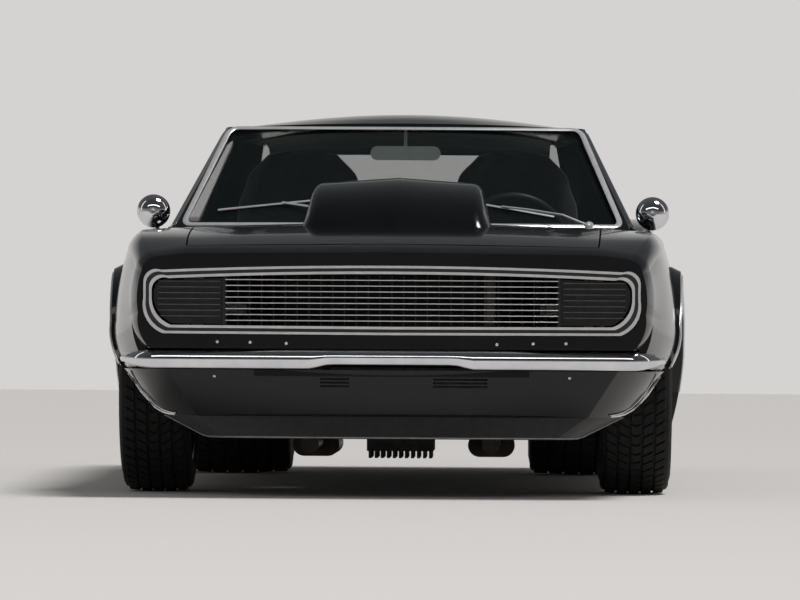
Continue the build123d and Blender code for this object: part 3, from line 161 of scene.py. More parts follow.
bpy.ops.mesh.primitive_plane_add(size=FLOOR_SIZE, location=(0.0, 0.0, 0.0))
floor = bpy.context.object
floor.name = "studio_floor"
floor_material = bpy.data.materials.new("studio_floor")
floor_material.use_nodes = True
floor_shader = floor_material.node_tree.nodes["Principled BSDF"]
floor_shader.inputs["Base Color"].default_value = FLOOR_COLOUR
floor_shader.inputs["Roughness"].default_value = 0.85
floor.data.materials.append(floor_material)


def soft_lamp(name, spot, target, size, watts):
    """A square lamp that points at a spot."""
    data = bpy.data.lights.new(name, "AREA")
    data.shape = "RECTANGLE"
    data.size, data.size_y = size
    data.energy = watts
    lamp = bpy.data.objects.new(name, data)
    bpy.context.scene.collection.objects.link(lamp)
    lamp.location = spot
    lamp.rotation_euler = (Vector(target) - Vector(spot)).to_track_quat("-Z", "Y").to_euler()
    return lamp


sun_data = bpy.data.lights.new("soft_sun", "SUN")
sun_data.energy = SUN_STRENGTH
sun_data.angle = SUN_ANGLE
sun = bpy.data.objects.new("soft_sun", sun_data)
bpy.context.scene.collection.objects.link(sun)
sun.rotation_euler = SUN_FROM.to_track_quat("Z", "Y").to_euler()
soft_lamp("front_strip", (0.0, -12.0, 7.0), (0.0, -2.3, 0.4), (16.0, 1.4), 200.0)
for name, side_x in (("side_left", 10.0), ("side_right", -10.0)):
    soft_lamp(name, (side_x, -1.0, 6.0), (0.0, 0.0, 0.6), (1.2, 9.0), 45.0)
print("lamps 4, floor", FLOOR_SIZE, "m")

# %% [markdown]
# ## Finishes
# Every finish here starts from the same idea: two close tints mixed by a soft noise, a roughness that
# wanders, and a fine bump. One colour over a whole panel looks like plastic. Image textures could do the
# same, but noise has no seams, needs no unwrapping and stays at its real scale on every piece.

# %% A helper for finishes
BUMP_DEPTH = 0.001
COAT_ROUGHNESS = 0.03


def finish(name, tint, other, rough, grain=30.0, bump=0.1, metal=0.0, coat=0.0, spread=0.06, dust=None,
           alpha=1.0, edge=0.0, sheen=0.0, level=0.5):
    """A procedural finish. Dust is (colour, height): it gets thicker from that height to the ground."""
    material = bpy.data.materials.new(name)
    material.use_nodes = True
    tree = material.node_tree
    shader = tree.nodes["Principled BSDF"]
    place = tree.nodes.new("ShaderNodeTexCoord")
    noise = tree.nodes.new("ShaderNodeTexNoise")
    noise.inputs["Scale"].default_value = grain
    noise.inputs["Detail"].default_value = 6.0
    link(tree, place, "Object", noise, "Vector")
    ramp = tree.nodes.new("ShaderNodeValToRGB")
    ramp.color_ramp.elements[0].position = 0.35
    ramp.color_ramp.elements[1].position = 0.65
    ramp.color_ramp.elements[0].color = (*tint, 1.0)
    ramp.color_ramp.elements[1].color = (*other, 1.0)
    link(tree, noise, "Fac", ramp, "Fac")
    wander = tree.nodes.new("ShaderNodeMapRange")
    wander.inputs["To Min"].default_value = max(0.0, rough - spread)
    wander.inputs["To Max"].default_value = min(1.0, rough + spread)
    blotch = tree.nodes.new("ShaderNodeTexNoise")
    blotch.inputs["Scale"].default_value = grain * 0.23
    blotch.inputs["Detail"].default_value = 4.0
    link(tree, place, "Object", blotch, "Vector")
    link(tree, blotch, "Fac", wander, "Value")
    if dust:
        dust_colour, dust_height = dust
        position = tree.nodes.new("ShaderNodeNewGeometry")
        split = tree.nodes.new("ShaderNodeSeparateXYZ")
        low = tree.nodes.new("ShaderNodeMapRange")
        low.inputs["From Min"].default_value = dust_height
        low.inputs["From Max"].default_value = 0.0
        patchy = tree.nodes.new("ShaderNodeMath")
        patchy.operation = "MULTIPLY"
        cover = tree.nodes.new("ShaderNodeMix")
        cover.data_type = "RGBA"
        cover.inputs["B"].default_value = (*dust_colour, 1.0)
        link(tree, position, "Position", split, "Vector")
        link(tree, split, "Z", low, "Value")
        link(tree, low, "Result", patchy, 0)
        link(tree, blotch, "Fac", patchy, 1)
        link(tree, patchy, 0, cover, "Factor")
        link(tree, ramp, "Color", cover, "A")
        link(tree, cover, "Result", shader, "Base Color")
    else:
        link(tree, ramp, "Color", shader, "Base Color")
    link(tree, wander, "Result", shader, "Roughness")
    fine = tree.nodes.new("ShaderNodeTexNoise")
    fine.inputs["Scale"].default_value = grain * 9.0
    fine.inputs["Detail"].default_value = 3.0
    link(tree, place, "Object", fine, "Vector")
    relief = tree.nodes.new("ShaderNodeBump")
    relief.inputs["Strength"].default_value = bump
    relief.inputs["Distance"].default_value = BUMP_DEPTH
    link(tree, fine, "Fac", relief, "Height")
    if edge:
        rounding = tree.nodes.new("ShaderNodeBevel")
        rounding.samples = 4
        rounding.inputs["Radius"].default_value = edge
        link(tree, rounding, "Normal", relief, "Normal")
    link(tree, relief, "Normal", shader, "Normal")
    shader.inputs["Metallic"].default_value = metal
    shader.inputs["Coat Weight"].default_value = coat
    shader.inputs["Coat Roughness"].default_value = COAT_ROUGHNESS
    shader.inputs["Specular IOR Level"].default_value = level
    shader.inputs["Alpha"].default_value = alpha
    shader.inputs["Sheen Weight"].default_value = sheen
    return material


# %% [markdown]
# Black paint is nearly black with a clear coat over it. The coat carries the reflections, so the base may
# stay a little rough. Road dust gathers towards the sills. Chrome is a bright metal that is never a perfect
# mirror: it has faint haze and very fine scratches. The glass is one finish, dark and clear.

# %% The finishes
black_paint = finish("black_paint", (0.0030, 0.0034, 0.0045), (0.0045, 0.0050, 0.0065), 0.16, grain=6.0,
                     bump=0.02, coat=0.55, spread=0.04, dust=((0.016, 0.015, 0.014), 0.28), edge=0.004,
                     level=0.12)
chrome = finish("chrome", (0.78, 0.79, 0.81), (0.68, 0.69, 0.72), 0.07, grain=14.0, bump=0.015, metal=1.0,
                spread=0.05, edge=0.0015)
bright = finish("bright_trim", (0.78, 0.78, 0.79), (0.68, 0.68, 0.69), 0.22, bump=0.02, metal=0.6)
dim_trim = finish("dim_trim", (0.16, 0.16, 0.165), (0.11, 0.11, 0.115), 0.35, bump=0.05, metal=0.8)
rub_grey = finish("rub_strip", (0.30, 0.30, 0.31), (0.22, 0.22, 0.23), 0.4, bump=0.05, metal=0.5)
# The inside mirror's pale, greenish colour is a painted reflection of the bright sky seen through the tinted
# glass. It is mostly matt rather than a true mirror.
mirror_painted_sky = finish("mirror_painted_reflection", (0.76, 0.88, 0.84), (0.68, 0.80, 0.76), 0.12, grain=20.0, bump=0.01,
                     metal=0.15)
black_trim = finish("black_trim", (0.012, 0.012, 0.013), (0.018, 0.018, 0.019), 0.45, grain=50.0, bump=0.25,
                    edge=0.002)
grille_black = finish("grille_black", (0.009, 0.009, 0.010), (0.015, 0.015, 0.016), 0.3, grain=40.0,
                      level=0.35)
frame_black = finish("frame_black", (0.009, 0.009, 0.010), (0.020, 0.019, 0.018), 0.6, grain=18.0, bump=0.4,
                     dust=((0.05, 0.045, 0.04), 0.3), level=0.3)
core = finish("radiator_core", (0.004, 0.004, 0.004), (0.010, 0.010, 0.010), 0.6, grain=90.0, bump=0.6,
              level=0.2)
iron = finish("engine_iron", (0.05, 0.05, 0.052), (0.09, 0.085, 0.08), 0.55, grain=25.0, bump=0.5, metal=0.6)
steel = finish("exhaust_steel", (0.10, 0.095, 0.09), (0.06, 0.052, 0.045), 0.45, grain=12.0, bump=0.2,
               metal=1.0, dust=((0.20, 0.18, 0.16), 0.2))
alloy = finish("wheel_alloy", (0.10, 0.10, 0.105), (0.15, 0.15, 0.155), 0.3, grain=20.0, bump=0.05, metal=1.0,
               coat=0.5, edge=0.004)
rubber = finish("tyre_rubber", (0.008, 0.008, 0.008), (0.014, 0.0135, 0.013), 0.72, grain=60.0, bump=0.3,
                dust=((0.05, 0.045, 0.04), 0.05), level=0.25)
cloth = finish("seat_cloth", (0.010, 0.010, 0.011), (0.022, 0.022, 0.023), 0.85, grain=120.0, bump=0.6,
               sheen=0.3)
glass = finish("window_glass", (0.010, 0.017, 0.016), (0.012, 0.019, 0.018), 0.02, grain=3.0, bump=0.0,
               spread=0.01, alpha=0.22, level=0.4)
lens = finish("lamp_glass", (0.55, 0.57, 0.57), (0.60, 0.62, 0.62), 0.03, grain=3.0, bump=0.0, spread=0.01,
              alpha=0.5)
red_lens = finish("lamp_red", (0.35, 0.012, 0.012), (0.28, 0.01, 0.01), 0.12, grain=60.0, coat=0.8)
dial_white = finish("dial_white", (0.70, 0.70, 0.68), (0.60, 0.60, 0.58), 0.5, grain=40.0, bump=0.05)

wearing = {
    black_paint: ["roof", "hood", "deck_lid", "nose_panel", "front_valance", "cowl_panel", "rear_deck_panel",
                  "tail_panel", "front_fender_left", "front_fender_right", "door_left", "door_right",
                  "quarter_panel_left", "quarter_panel_right", "rocker_panels"],
    chrome: ["front_bumper", "rear_bumper", "door_mirror_left", "door_mirror_right", "door_handle_left",
             "door_handle_right"],
    bright: ["grille_trim"],
    mirror_painted_sky: ["inside_mirror"],
    black_trim: ["chin_spoiler", "grille_frame", "dashboard", "steering_wheel"],
    grille_black: ["grille", "headlamp_door_left", "headlamp_door_right"],
    frame_black: ["underbody", "front_subframe", "rear_axle", "fuel_tank", "knuckle_left", "knuckle_right"],
    iron: ["engine", "gearbox"],
    steel: ["exhaust"],
    core: ["radiator"],
    alloy: ["wheel_front_left", "wheel_front_right", "wheel_rear_left", "wheel_rear_right"],
    rubber: ["tyre_front_left", "tyre_front_right", "tyre_rear_left", "tyre_rear_right"],
    glass: ["windshield", "rear_window", "quarter_windows", "door_glass_left", "door_glass_right"],
    lens: ["headlamps"],
    cloth: ["front_seats", "rear_seat"],
    red_lens: ["tail_lamps"],
}
for material, names in wearing.items():
    for name in names:
        mesh = nodes[name].data
        mesh.materials.clear()
        mesh.materials.append(material)
print("finishes", len(wearing), "on", sum(len(names) for names in wearing.values()), "nodes")

# %% [markdown]
# ## Shape helpers
# Trim follows the body, so its path is found by rays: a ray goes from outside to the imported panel, and the
# strip lies where it lands. The other way would be to copy the panel's sizes, which breaks when they change.

# %% Rays, strips, turned and lofted shapes
trees = {}
STRIP_FORM = ((-1.0, 0.0), (-1.0, 0.45), (-0.6, 0.9), (0.0, 1.0), (0.6, 0.9), (1.0, 0.45), (1.0, 0.0))
# How deep a strip's foot sinks into what carries it.
STRIP_SINK = 0.0008
SIDES = (("left", 1), ("right", -1))
INTO_CAR = Vector((0, 1, 0))
FAR_FRONT = -4.0
FAR_REAR = 4.0
FAR_SIDE = 2.0
FAR_ABOVE = 1.5


def surface(name, start, way):
    """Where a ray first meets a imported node, and the direction out of the surface there."""
    if name not in trees:
        mesh = nodes[name].data
        corners = [vertex.co for vertex in mesh.vertices]
        trees[name] = BVHTree.FromPolygons(corners, [polygon.vertices for polygon in mesh.polygons])
    spot, normal, _, _ = trees[name].ray_cast(Vector(start), Vector(way))
    if spot is not None and normal.dot(Vector(way)) > 0:
        normal = -normal
    return spot, normal


def add_mesh(name, points, faces, material, body, sharp=40.0):
    """A mesh piece that rides on a body, smooth except at its sharp edges."""
    mesh = bpy.data.meshes.new(name)
    mesh.from_pydata([tuple(point) for point in points], [], faces)
    shape = bmesh.new()
    shape.from_mesh(mesh)
    bmesh.ops.recalc_face_normals(shape, faces=shape.faces)
    shape.to_mesh(mesh)
    shape.free()
    mesh.materials.append(material)
    mesh.shade_smooth()
    mesh.set_sharp_from_angle(angle=radians(sharp))
    piece = bpy.data.objects.new(name, mesh)
    bpy.context.scene.collection.objects.link(piece)
    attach(piece, body)
    return piece


def rows_to_faces(row_count, row_length, round_rows, round_row):
    """Faces between rows of points. Each direction may close on itself."""
    faces = []
    for i in range(row_count if round_rows else row_count - 1):
        here = i * row_length
        after = (i + 1) % row_count * row_length
        for j in range(row_length if round_row else row_length - 1):
            k = (j + 1) % row_length
            faces.append((here + j, here + k, after + k, after + j))
    return faces


def ends(row_count, row_length):
    """The two flat faces that close the first and the last row."""
    last = (row_count - 1) * row_length
    return [tuple(range(row_length)), tuple(range(last, last + row_length))]


def follow(node, starts, way, keep=None):
    """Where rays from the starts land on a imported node, and the directions out of it there."""
    path = []
    outs = []
    for start in starts:
        spot, out = surface(node, start, way)
        if spot is not None and (keep is None or keep(spot)):
            path.append(spot)
            outs.append(out)
    return path, outs


def strip(name, path, outs, width, height, material, body, closed=False):
    """A crowned strip along a path on a surface. Outs point away from the surface."""
    points = []
    count = len(path)
    for i, (spot, out) in enumerate(zip(path, outs)):
        before = path[i - 1] if i or closed else spot
        after = path[(i + 1) % count] if i + 1 < count or closed else spot
        side = (after - before).cross(out).normalized()
        for across, up in STRIP_FORM:
            points.append(spot + side * (across * width / 2) + out * (up * height - STRIP_SINK))
    size = len(STRIP_FORM)
    faces = rows_to_faces(count, size, closed, True)
    if not closed:
        faces += ends(count, size)
    return add_mesh(name, points, faces, material, body)


def rounded(corners, radius, steps=5):
    """A closed flat outline with its corners rounded."""
    points = []
    for i, corner in enumerate(corners):
        corner = Vector(corner)
        before = Vector(corners[i - 1])
        after = Vector(corners[(i + 1) % len(corners)])
        reach = min(radius, (before - corner).length / 2.2, (after - corner).length / 2.2)
        start = corner + (before - corner).normalized() * reach
        end = corner + (after - corner).normalized() * reach
        for step in range(steps + 1):
            t = step / steps
            points.append(start * (1 - t) ** 2 + corner * 2 * t * (1 - t) + end * t ** 2)
    return points


def spread(points, gap, closed=True):
    """The same outline with more points on its long runs."""
    result = []
    ends = points[1:] + points[:1] if closed else points[1:]
    for start, end in zip(points, ends):
        count = max(1, int((end - start).length / gap))
        result += [start.lerp(end, step / count) for step in range(count)]
    return result if closed else result + [points[-1]]


def turned(name, profile, centre, axis, material, body, segments=32, sharp=40.0):
    """A turned shape. Profile is (distance along the axis, radius) from one end to the other."""
    axis = Vector(axis).normalized()
    across = axis.orthogonal().normalized()
    upward = axis.cross(across)
    points = []
    for along, radius in profile:
        for step in range(segments):
            angle = 2 * pi * step / segments
            spoke = across * cos(angle) + upward * sin(angle)
            points.append(Vector(centre) + axis * along + spoke * max(radius, 0.0001))
    faces = rows_to_faces(len(profile), segments, False, True) + ends(len(profile), segments)
    return add_mesh(name, points, faces, material, body, sharp)


def plate(name, low, high, material, body, edge=0.002):
    """A flat bar with its edges rounded off."""
    shape = bmesh.new()
    bmesh.ops.create_cube(shape, size=1.0)
    for vertex in shape.verts:
        for axis in range(3):
            vertex.co[axis] = low[axis] if vertex.co[axis] < 0 else high[axis]
    bmesh.ops.bevel(shape, geom=list(shape.edges), offset=edge, segments=3, profile=0.5, affect="EDGES")
    points = [vertex.co.copy() for vertex in shape.verts]
    faces = [tuple(vertex.index for vertex in face.verts) for face in shape.faces]
    shape.free()
    return add_mesh(name, points, faces, material, body)


def join(name, pieces):
    """One piece from several on the same body."""
    bpy.ops.object.select_all(action="DESELECT")
    for piece in pieces:
        piece.select_set(True)
    bpy.context.view_layer.objects.active = pieces[0]
    bpy.ops.object.join()
    pieces[0].name = name
    return pieces[0]


print("helpers ready, strip section of", len(STRIP_FORM), "points")

# %% [markdown]
# ## Tyres
# A tyre is moulded rubber on a cord carcass: the sidewall is thin and bulges, the shoulder is round and the
# tread is thick blocks with grooves between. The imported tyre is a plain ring, so here it is turned with a
# bulging sidewall and fine ribs, and the tread blocks stand on it in slanting rows, as on a road tyre.

# %% Tyres with tread
TREAD_DEPTH = 0.007
GROOVE = 0.007
# Columns: tyre radius, width, centre x and y, blocks round it, rows of blocks across.
TYRES = {"front": (0.325, 0.228, 0.758, FRONT_AXLE_Y, 58, 5),
         "rear": (0.365, 0.430, 0.647, REAR_AXLE_Y, 62, 7)}
RIM_RADIUS = 0.216
SHOULDER = 0.022
TYRE_SEGMENTS = 112
# A block's length and slant, as shares of the distance from block to block.
BLOCK_LENGTH = 0.86
BLOCK_SLANT = 1.6


def crown(x, radius, half):
    """How far from the axle the tread is, which falls a little towards the shoulders."""
    return radius - 0.005 * (x / half) ** 2


def tyre_carcass(radius, width):
    """The tyre's section without its tread blocks, as (x, radius) from the inner bead to the outer bead."""
    half = width / 2
    lift = RIM_RADIUS + 0.012
    side = [(half - 0.018, RIM_RADIUS), (half - 0.017, lift), (half - 0.008, lift + 0.010)]
    for step in range(9):
        t = step / 8
        bulge = sin(pi * (0.12 + 0.76 * t))
        rib = 0.0012 if step in (2, 5) else 0.0
        side.append((half - 0.011 + 0.010 * bulge + rib, lift + 0.014 + t * (radius - lift - 0.046)))
    edge = half - SHOULDER
    base = radius - TREAD_DEPTH
    side += [(half - 0.006, radius - 0.024), (half - 0.012, radius - 0.015), (edge, base - 0.005)]
    across = [edge * (1 - step / 6) for step in range(1, 12)]
    tread = [(x, crown(x, base, edge)) for x in across]
    return side + tread + [(-x, away) for x, away in reversed(side)]


def tread_block(x0, x1, start, length, slant, radius, edge):
    """One block's points, narrower on top, and its faces."""
    points = []
    for lift, inset in ((-TREAD_DEPTH - 0.001, 0.0), (-0.0012, 0.0010), (0.0, 0.0022)):
        for i in range(4):
            x = (x0 + inset) + (x1 - x0 - 2 * inset) * i / 3
            for j in range(3):
                turn = start + inset / radius + (length - 2 * inset / radius) * j / 2 + slant * abs(x) / edge
                away = crown(x, radius, edge) + lift
                points.append(Vector((x, -cos(turn) * away, sin(turn) * away)))
    faces = [(24 + i * 3 + j, 24 + i * 3 + j + 1, 27 + i * 3 + j + 1, 27 + i * 3 + j)
             for i in range(3) for j in range(2)]
    rim = [0, 1, 2, 5, 8, 11, 10, 9, 6, 3]
    for level in (0, 12):
        for a, b in zip(rim, rim[1:] + rim[:1]):
            faces.append((level + a, level + b, level + 12 + b, level + 12 + a))
    return points, faces


def make_tyre(end, side, sign):
    """One tyre, which stands for its packed ring."""
    radius, width, centre_x, centre_y, block_count, row_count = TYRES[end]
    body = "wheel_%s_%s" % (end, side)
    centre = Vector((sign * centre_x, centre_y, radius))
    section = tyre_carcass(radius, width)
    points = []
    for step in range(TYRE_SEGMENTS):
        turn = 2 * pi * step / TYRE_SEGMENTS
        for x, away in section:
            points.append(Vector((x, -cos(turn) * away, sin(turn) * away)))
    faces = rows_to_faces(TYRE_SEGMENTS, len(section), True, True)
    edge = width / 2 - SHOULDER + 0.004
    pitch = 2 * pi / block_count
    row_width = 2 * edge / row_count
    for row in range(row_count):
        x0 = -edge + row * row_width + GROOVE / 2
        x1 = x0 + row_width - GROOVE
        for index in range(block_count):
            start = index * pitch + (row % 2) * pitch / 2
            block, block_faces = tread_block(x0, x1, start, pitch * BLOCK_LENGTH, pitch * BLOCK_SLANT, radius,
                                             edge)
            faces += [tuple(len(points) + corner for corner in face) for face in block_faces]
            points += block
    points = [centre + point for point in points]
    tyre = add_mesh("tyre_%s_%s_treaded" % (end, side), points, faces, rubber, body, 30.0)
    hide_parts("tyre_%s_%s" % (end, side))
    return tyre


for end in ("front", "rear"):
    for side, sign in SIDES:
        tyre = make_tyre(end, side, sign)
    print(end, "tyre faces", len(tyre.data.polygons))

# %% [markdown]
# ## Wheel nuts and caps
# The cast wheels are held by five nuts round a cap. The nuts are six-sided with a round seat, turned with six
# segments instead of many, and they ride on the wheel so that they turn with it.

# %% Wheel nuts and caps
NUT_CIRCLE = 0.040
NUTS = 5
# Columns: distance along the axis, radius.
CAP_FORM = ((0.0, 0.030), (0.004, 0.030), (0.010, 0.024), (0.013, 0.012), (0.014, 0.0))
NUT_FORM = ((-0.004, 0.011), (0.0, 0.011), (0.012, 0.0095), (0.016, 0.006), (0.017, 0.0))
# Columns: x of the spokes' outer face, from the wheel's middle.
SPOKE_FACE = {"front": 0.072, "rear": 0.086}
for end in ("front", "rear"):
    radius, width, centre_x, centre_y, _, _ = TYRES[end]
    for side, sign in SIDES:
        body = "wheel_%s_%s" % (end, side)
        face_x = sign * (centre_x + SPOKE_FACE[end] + 0.008)
        out = (sign, 0, 0)
        parts = [turned("cap", CAP_FORM, (face_x, centre_y, radius), out, chrome, body)]
        for index in range(NUTS):
            turn = 2 * pi * (index + 0.5) / NUTS
            spot = (face_x, centre_y + NUT_CIRCLE * cos(turn), radius + NUT_CIRCLE * sin(turn))
            parts.append(turned("nut", NUT_FORM, spot, out, chrome, body, 6, 20.0))
        join("wheel_nuts_%s_%s" % (end, side), parts)
print("caps 4, nuts", 4 * NUTS)

# %% [markdown]
# ## Bright trim
# The windscreen, the rear window, the gutters and the wheel openings are edged with polished stainless strip,
# rolled to a low crown and clipped over the joint. Each strip follows the panel that carries it.

# %% Window trim
# Places along the car are kept from the front axle, so that they stay with it.
SHIFT_Y = FRONT_AXLE_Y
SCREEN_TRIM = ((-0.731, 0.869), (0.731, 0.869), (0.597, 1.2095), (-0.597, 1.2095))
REAR_TRIM = ((-0.585, 0.923), (0.585, 0.923), (0.530, 1.199), (-0.530, 1.199))
TRIM_CORNER = 0.03
TRIM_STEP = 0.05


def facing_trim(name, node, outline, start_y, way, width):
    """A closed strip round a window that faces along the car."""
    starts = [(flat.x, start_y, flat.y) for flat in spread(rounded(outline, TRIM_CORNER), TRIM_STEP)]
    path, outs = follow(node, starts, way)
    strip(name, path, outs, width, 0.004, bright, "body", closed=True)


facing_trim("windscreen_trim", "roof", SCREEN_TRIM, FAR_FRONT, INTO_CAR, 0.019)
facing_trim("rear_window_trim", "roof", REAR_TRIM, FAR_REAR, -INTO_CAR, 0.016)
# The gutter over the side windows, as (y from the front axle, z).
GUTTER = ((0.812, 0.872), (1.277, 1.1975), (2.000, 1.1975), (2.124, 0.905))
for side, sign in SIDES:
    corners = [Vector((SHIFT_Y + y, z)) for y, z in GUTTER]
    bends = rounded(corners, 0.05)[6:18]
    line = spread([corners[0]] + bends + [corners[3]], TRIM_STEP, closed=False)
    path, outs = follow("roof", [(sign * FAR_SIDE, flat.x, flat.y) for flat in line], (-sign, 0, 0))
    strip("gutter_" + side, path, outs, 0.012, 0.006, chrome, "body")
print("window strips 4")

# %% [markdown]
# The wheel openings carry the same strip along the edge of their lips, and in front it runs on down the edge
# of the valance to the chin spoiler, which is what draws the bright curve beside the tyre in the photograph.

# %% Wheel opening, sill and waist strips
# Columns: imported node, y and z of the centre, radius, first and last angle from the front, in degrees.
OPENINGS = {"front": ("front_fender", FRONT_AXLE_Y, 0.322, 0.3745, 13.0, 180.0),
            "rear": ("quarter_panel", REAR_AXLE_Y, 0.365, 0.3925, 0.0, 180.0)}
SKIN_X = 0.8
SILL_FRONT_Y = SHIFT_Y + 0.645
SILL_LENGTH = 1.69
SILL_Z = 0.222
WAIST_FRONT_Y = SHIFT_Y + 0.86
WAIST_LENGTH = 0.99
WAIST_X = 0.7785
for side, sign in SIDES:
    inwards = (-sign, 0, 0)
    for end, (node, centre_y, centre_z, radius, first, last) in OPENINGS.items():
        starts = []
        for step in range(49):
            turn = radians(first + (last - first) * step / 48)
            starts.append((sign * FAR_SIDE, centre_y - radius * cos(turn), centre_z + radius * sin(turn)))
        path, _ = follow(node + "_" + side, starts, inwards, keep=lambda spot: abs(spot.x) > SKIN_X)
        outs = [Vector((sign, -0.8, 0)).normalized()] * len(path)
        strip("opening_strip_%s_%s" % (end, side), path, outs, 0.008, 0.005, bright, "body")
    starts = [(sign * FAR_SIDE, SILL_FRONT_Y + SILL_LENGTH * step / 40, SILL_Z) for step in range(41)]
    path, outs = follow("rocker_panels", starts, inwards)
    strip("sill_strip_" + side, path, outs, 0.026, 0.004, chrome, "body")
    starts = [(sign * WAIST_X, WAIST_FRONT_Y + WAIST_LENGTH * step / 30, FAR_ABOVE) for step in range(31)]
    path, outs = follow("door_" + side, starts, (0, 0, -1), keep=lambda spot: spot.z > 0.8)
    strip("waist_strip_" + side, path, outs, 0.008, 0.006, chrome, "door_" + side)
print("opening strips 4, sill strips 2, waist strips 2")

# %% [markdown]
# ## Wipers
# Two thin bright arms reach from the cowl and press a rubber blade on the glass. The blades lie on the packed
# windscreen, a little above its lower edge, and the hood scoop hides their inner ends.

# %% Wipers
# Columns: side name, (x, z) of the blade's two ends, (x, z) where the arm meets it, x of the arm's pivot.
WIPERS = (("right", (-0.615, 0.913), (-0.250, 0.951), (-0.40, 0.937), -0.10),
          ("left", (0.505, 0.895), (0.180, 0.951), (0.33, 0.926), 0.62))
WIPER_PIVOT_Y = SHIFT_Y + 0.60
PIVOT_FORM = ((-0.012, 0.016), (0.0, 0.016), (0.010, 0.013), (0.014, 0.006), (0.015, 0.0))
for side, start, end, hold, pivot_x in WIPERS:
    flats = [Vector(start).lerp(Vector(end), step / 12) for step in range(13)]
    path, outs = follow("windshield", [(flat.x, FAR_FRONT, flat.y) for flat in flats], INTO_CAR)
    on_glass = [spot + out * 0.0005 for spot, out in zip(path, outs)]
    blade = strip("blade", on_glass, outs, 0.006, 0.007, rubber, "body")
    above = [spot + out * 0.006 for spot, out in zip(path, outs)]
    back = strip("back", above, outs, 0.010, 0.004, bright, "body")
    spot, out = surface("windshield", (hold[0], FAR_FRONT, hold[1]), INTO_CAR)
    foot, _ = surface("cowl_panel", (pivot_x, WIPER_PIVOT_Y, FAR_ABOVE), (0, 0, -1))
    foot = foot + Vector((0, 0, 0.010))
    bends = [foot, foot.lerp(spot, 0.3) + Vector((0, -0.02, 0.018)), foot.lerp(spot, 0.7) + out * 0.016,
             spot + out * 0.008]
    line = spread(bends, 0.03, closed=False)
    arm = strip("arm", line, [out] * len(line), 0.009, 0.005, bright, "body")
    base = turned("base", PIVOT_FORM, foot, (0, 0, 1), bright, "body", 24)
    join("wiper_" + side, [back, blade, arm, base])
print("wipers", len(WIPERS))

# %% [markdown]
# ## Behind and round the grille
# A bright hood latch stay and a small finned cooler show between the bars. Small domed bolts hold the bumper.
# The grille itself stays bare in the middle.

# %% Latch stay, cooler and bolts
GRILLE_Y = SHIFT_Y - 0.909
STAY_LOW = 0.49
STAY_HIGH = 0.70
stay = [plate("stay", (0.280, GRILLE_Y + 0.045, STAY_LOW), (0.314, GRILLE_Y + 0.049, STAY_HIGH), steel,
              "body")]
for x in (0.280, 0.310):
    stay.append(plate("rib", (x, GRILLE_Y + 0.034, STAY_LOW), (x + 0.004, GRILLE_Y + 0.047, STAY_HIGH), steel,
                      "body"))
join("latch_stay", stay)
FIN_PITCH = 0.0075
cooler = [plate("tank", (-0.262, GRILLE_Y + 0.10, 0.525), (-0.135, GRILLE_Y + 0.125, 0.592), core, "body")]
for index in range(8):
    z = 0.530 + index * FIN_PITCH
    cooler.append(plate("fin", (-0.256, GRILLE_Y + 0.088, z), (-0.141, GRILLE_Y + 0.101, z + 0.0025), core,
                        "body", 0.0005))
cooler.append(plate("bracket", (-0.21, GRILLE_Y + 0.10, 0.39), (-0.19, GRILLE_Y + 0.11, 0.53), frame_black,
                    "body"))
join("cooler", cooler)
# Columns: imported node, x, z. The bolts stand on its front.
BOLTS = (("front_valance", 0.542, 0.372), ("nose_panel", 0.530, 0.477), ("nose_panel", 0.430, 0.476),
         ("nose_panel", 0.320, 0.473))
BOLT_FORM = ((-0.002, 0.005), (0.0, 0.005), (0.002, 0.0045), (0.003, 0.003), (0.0035, 0.0))
bolts = []
for node, x, z in BOLTS:
    path, outs = follow(node, [(x, FAR_FRONT, z), (-x, FAR_FRONT, z)], INTO_CAR)
    bolts += [turned("bolt", BOLT_FORM, spot, out, bright, "body", 16) for spot, out in zip(path, outs)]
print("bolts", len(bolts))
join("front_bolts", bolts)

# %% [markdown]
# ## Cowl
# Air for the cabin comes in through louvres between the hood and the glass. They are pressed slats over a
# dark duct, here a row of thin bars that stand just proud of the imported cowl.

# %% Cowl louvres
SLAT_PITCH = 0.015
SLAT_HALF = 0.0035
slats = []
for sign in (1, -1):
    for index in range(34):
        x = sign * (0.10 + index * SLAT_PITCH)
        spot, _ = surface("cowl_panel", (x, SHIFT_Y + 0.5985, FAR_ABOVE), (0, 0, -1))
        if spot is not None:
            slats.append(plate("slat", (x - SLAT_HALF, SHIFT_Y + 0.560, spot.z - 0.001),
                               (x + SLAT_HALF, SHIFT_Y + 0.632, spot.z + 0.004), black_trim, "body", 0.001))
print("slats", len(slats))
join("cowl_louvres", slats)

# %% [markdown]
# ## Front bumper
# The bumper blade is pressed steel with a crowned section and rounded ends, plated after pressing. The packed
# blade is a plain section, so a finer one stands for it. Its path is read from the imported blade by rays, and
# the section shrinks towards the ends and over the notch in the middle.

# %% Bumper blade
BUMPER_LOW = 0.395
BUMPER_HIGH = 0.454
BUMPER_MID = 0.4245
BLADE_END_X = 0.832
BLADE_TAPER = 0.090
NOTCH_X = 0.245
NOTCH_DEPTH = 0.013
# Columns: depth behind the front face, height as a share from the bottom, 0, to the top, 1.
BLADE_FORM = ((0.0235, 0.08), (0.0150, 0.0), (0.0080, 0.03), (0.0040, 0.14), (0.0015, 0.30), (0.0002, 0.45),
              (0.0004, 0.55), (0.0030, 0.70), (0.0075, 0.84), (0.0130, 0.94), (0.0185, 1.0), (0.0235, 0.96))


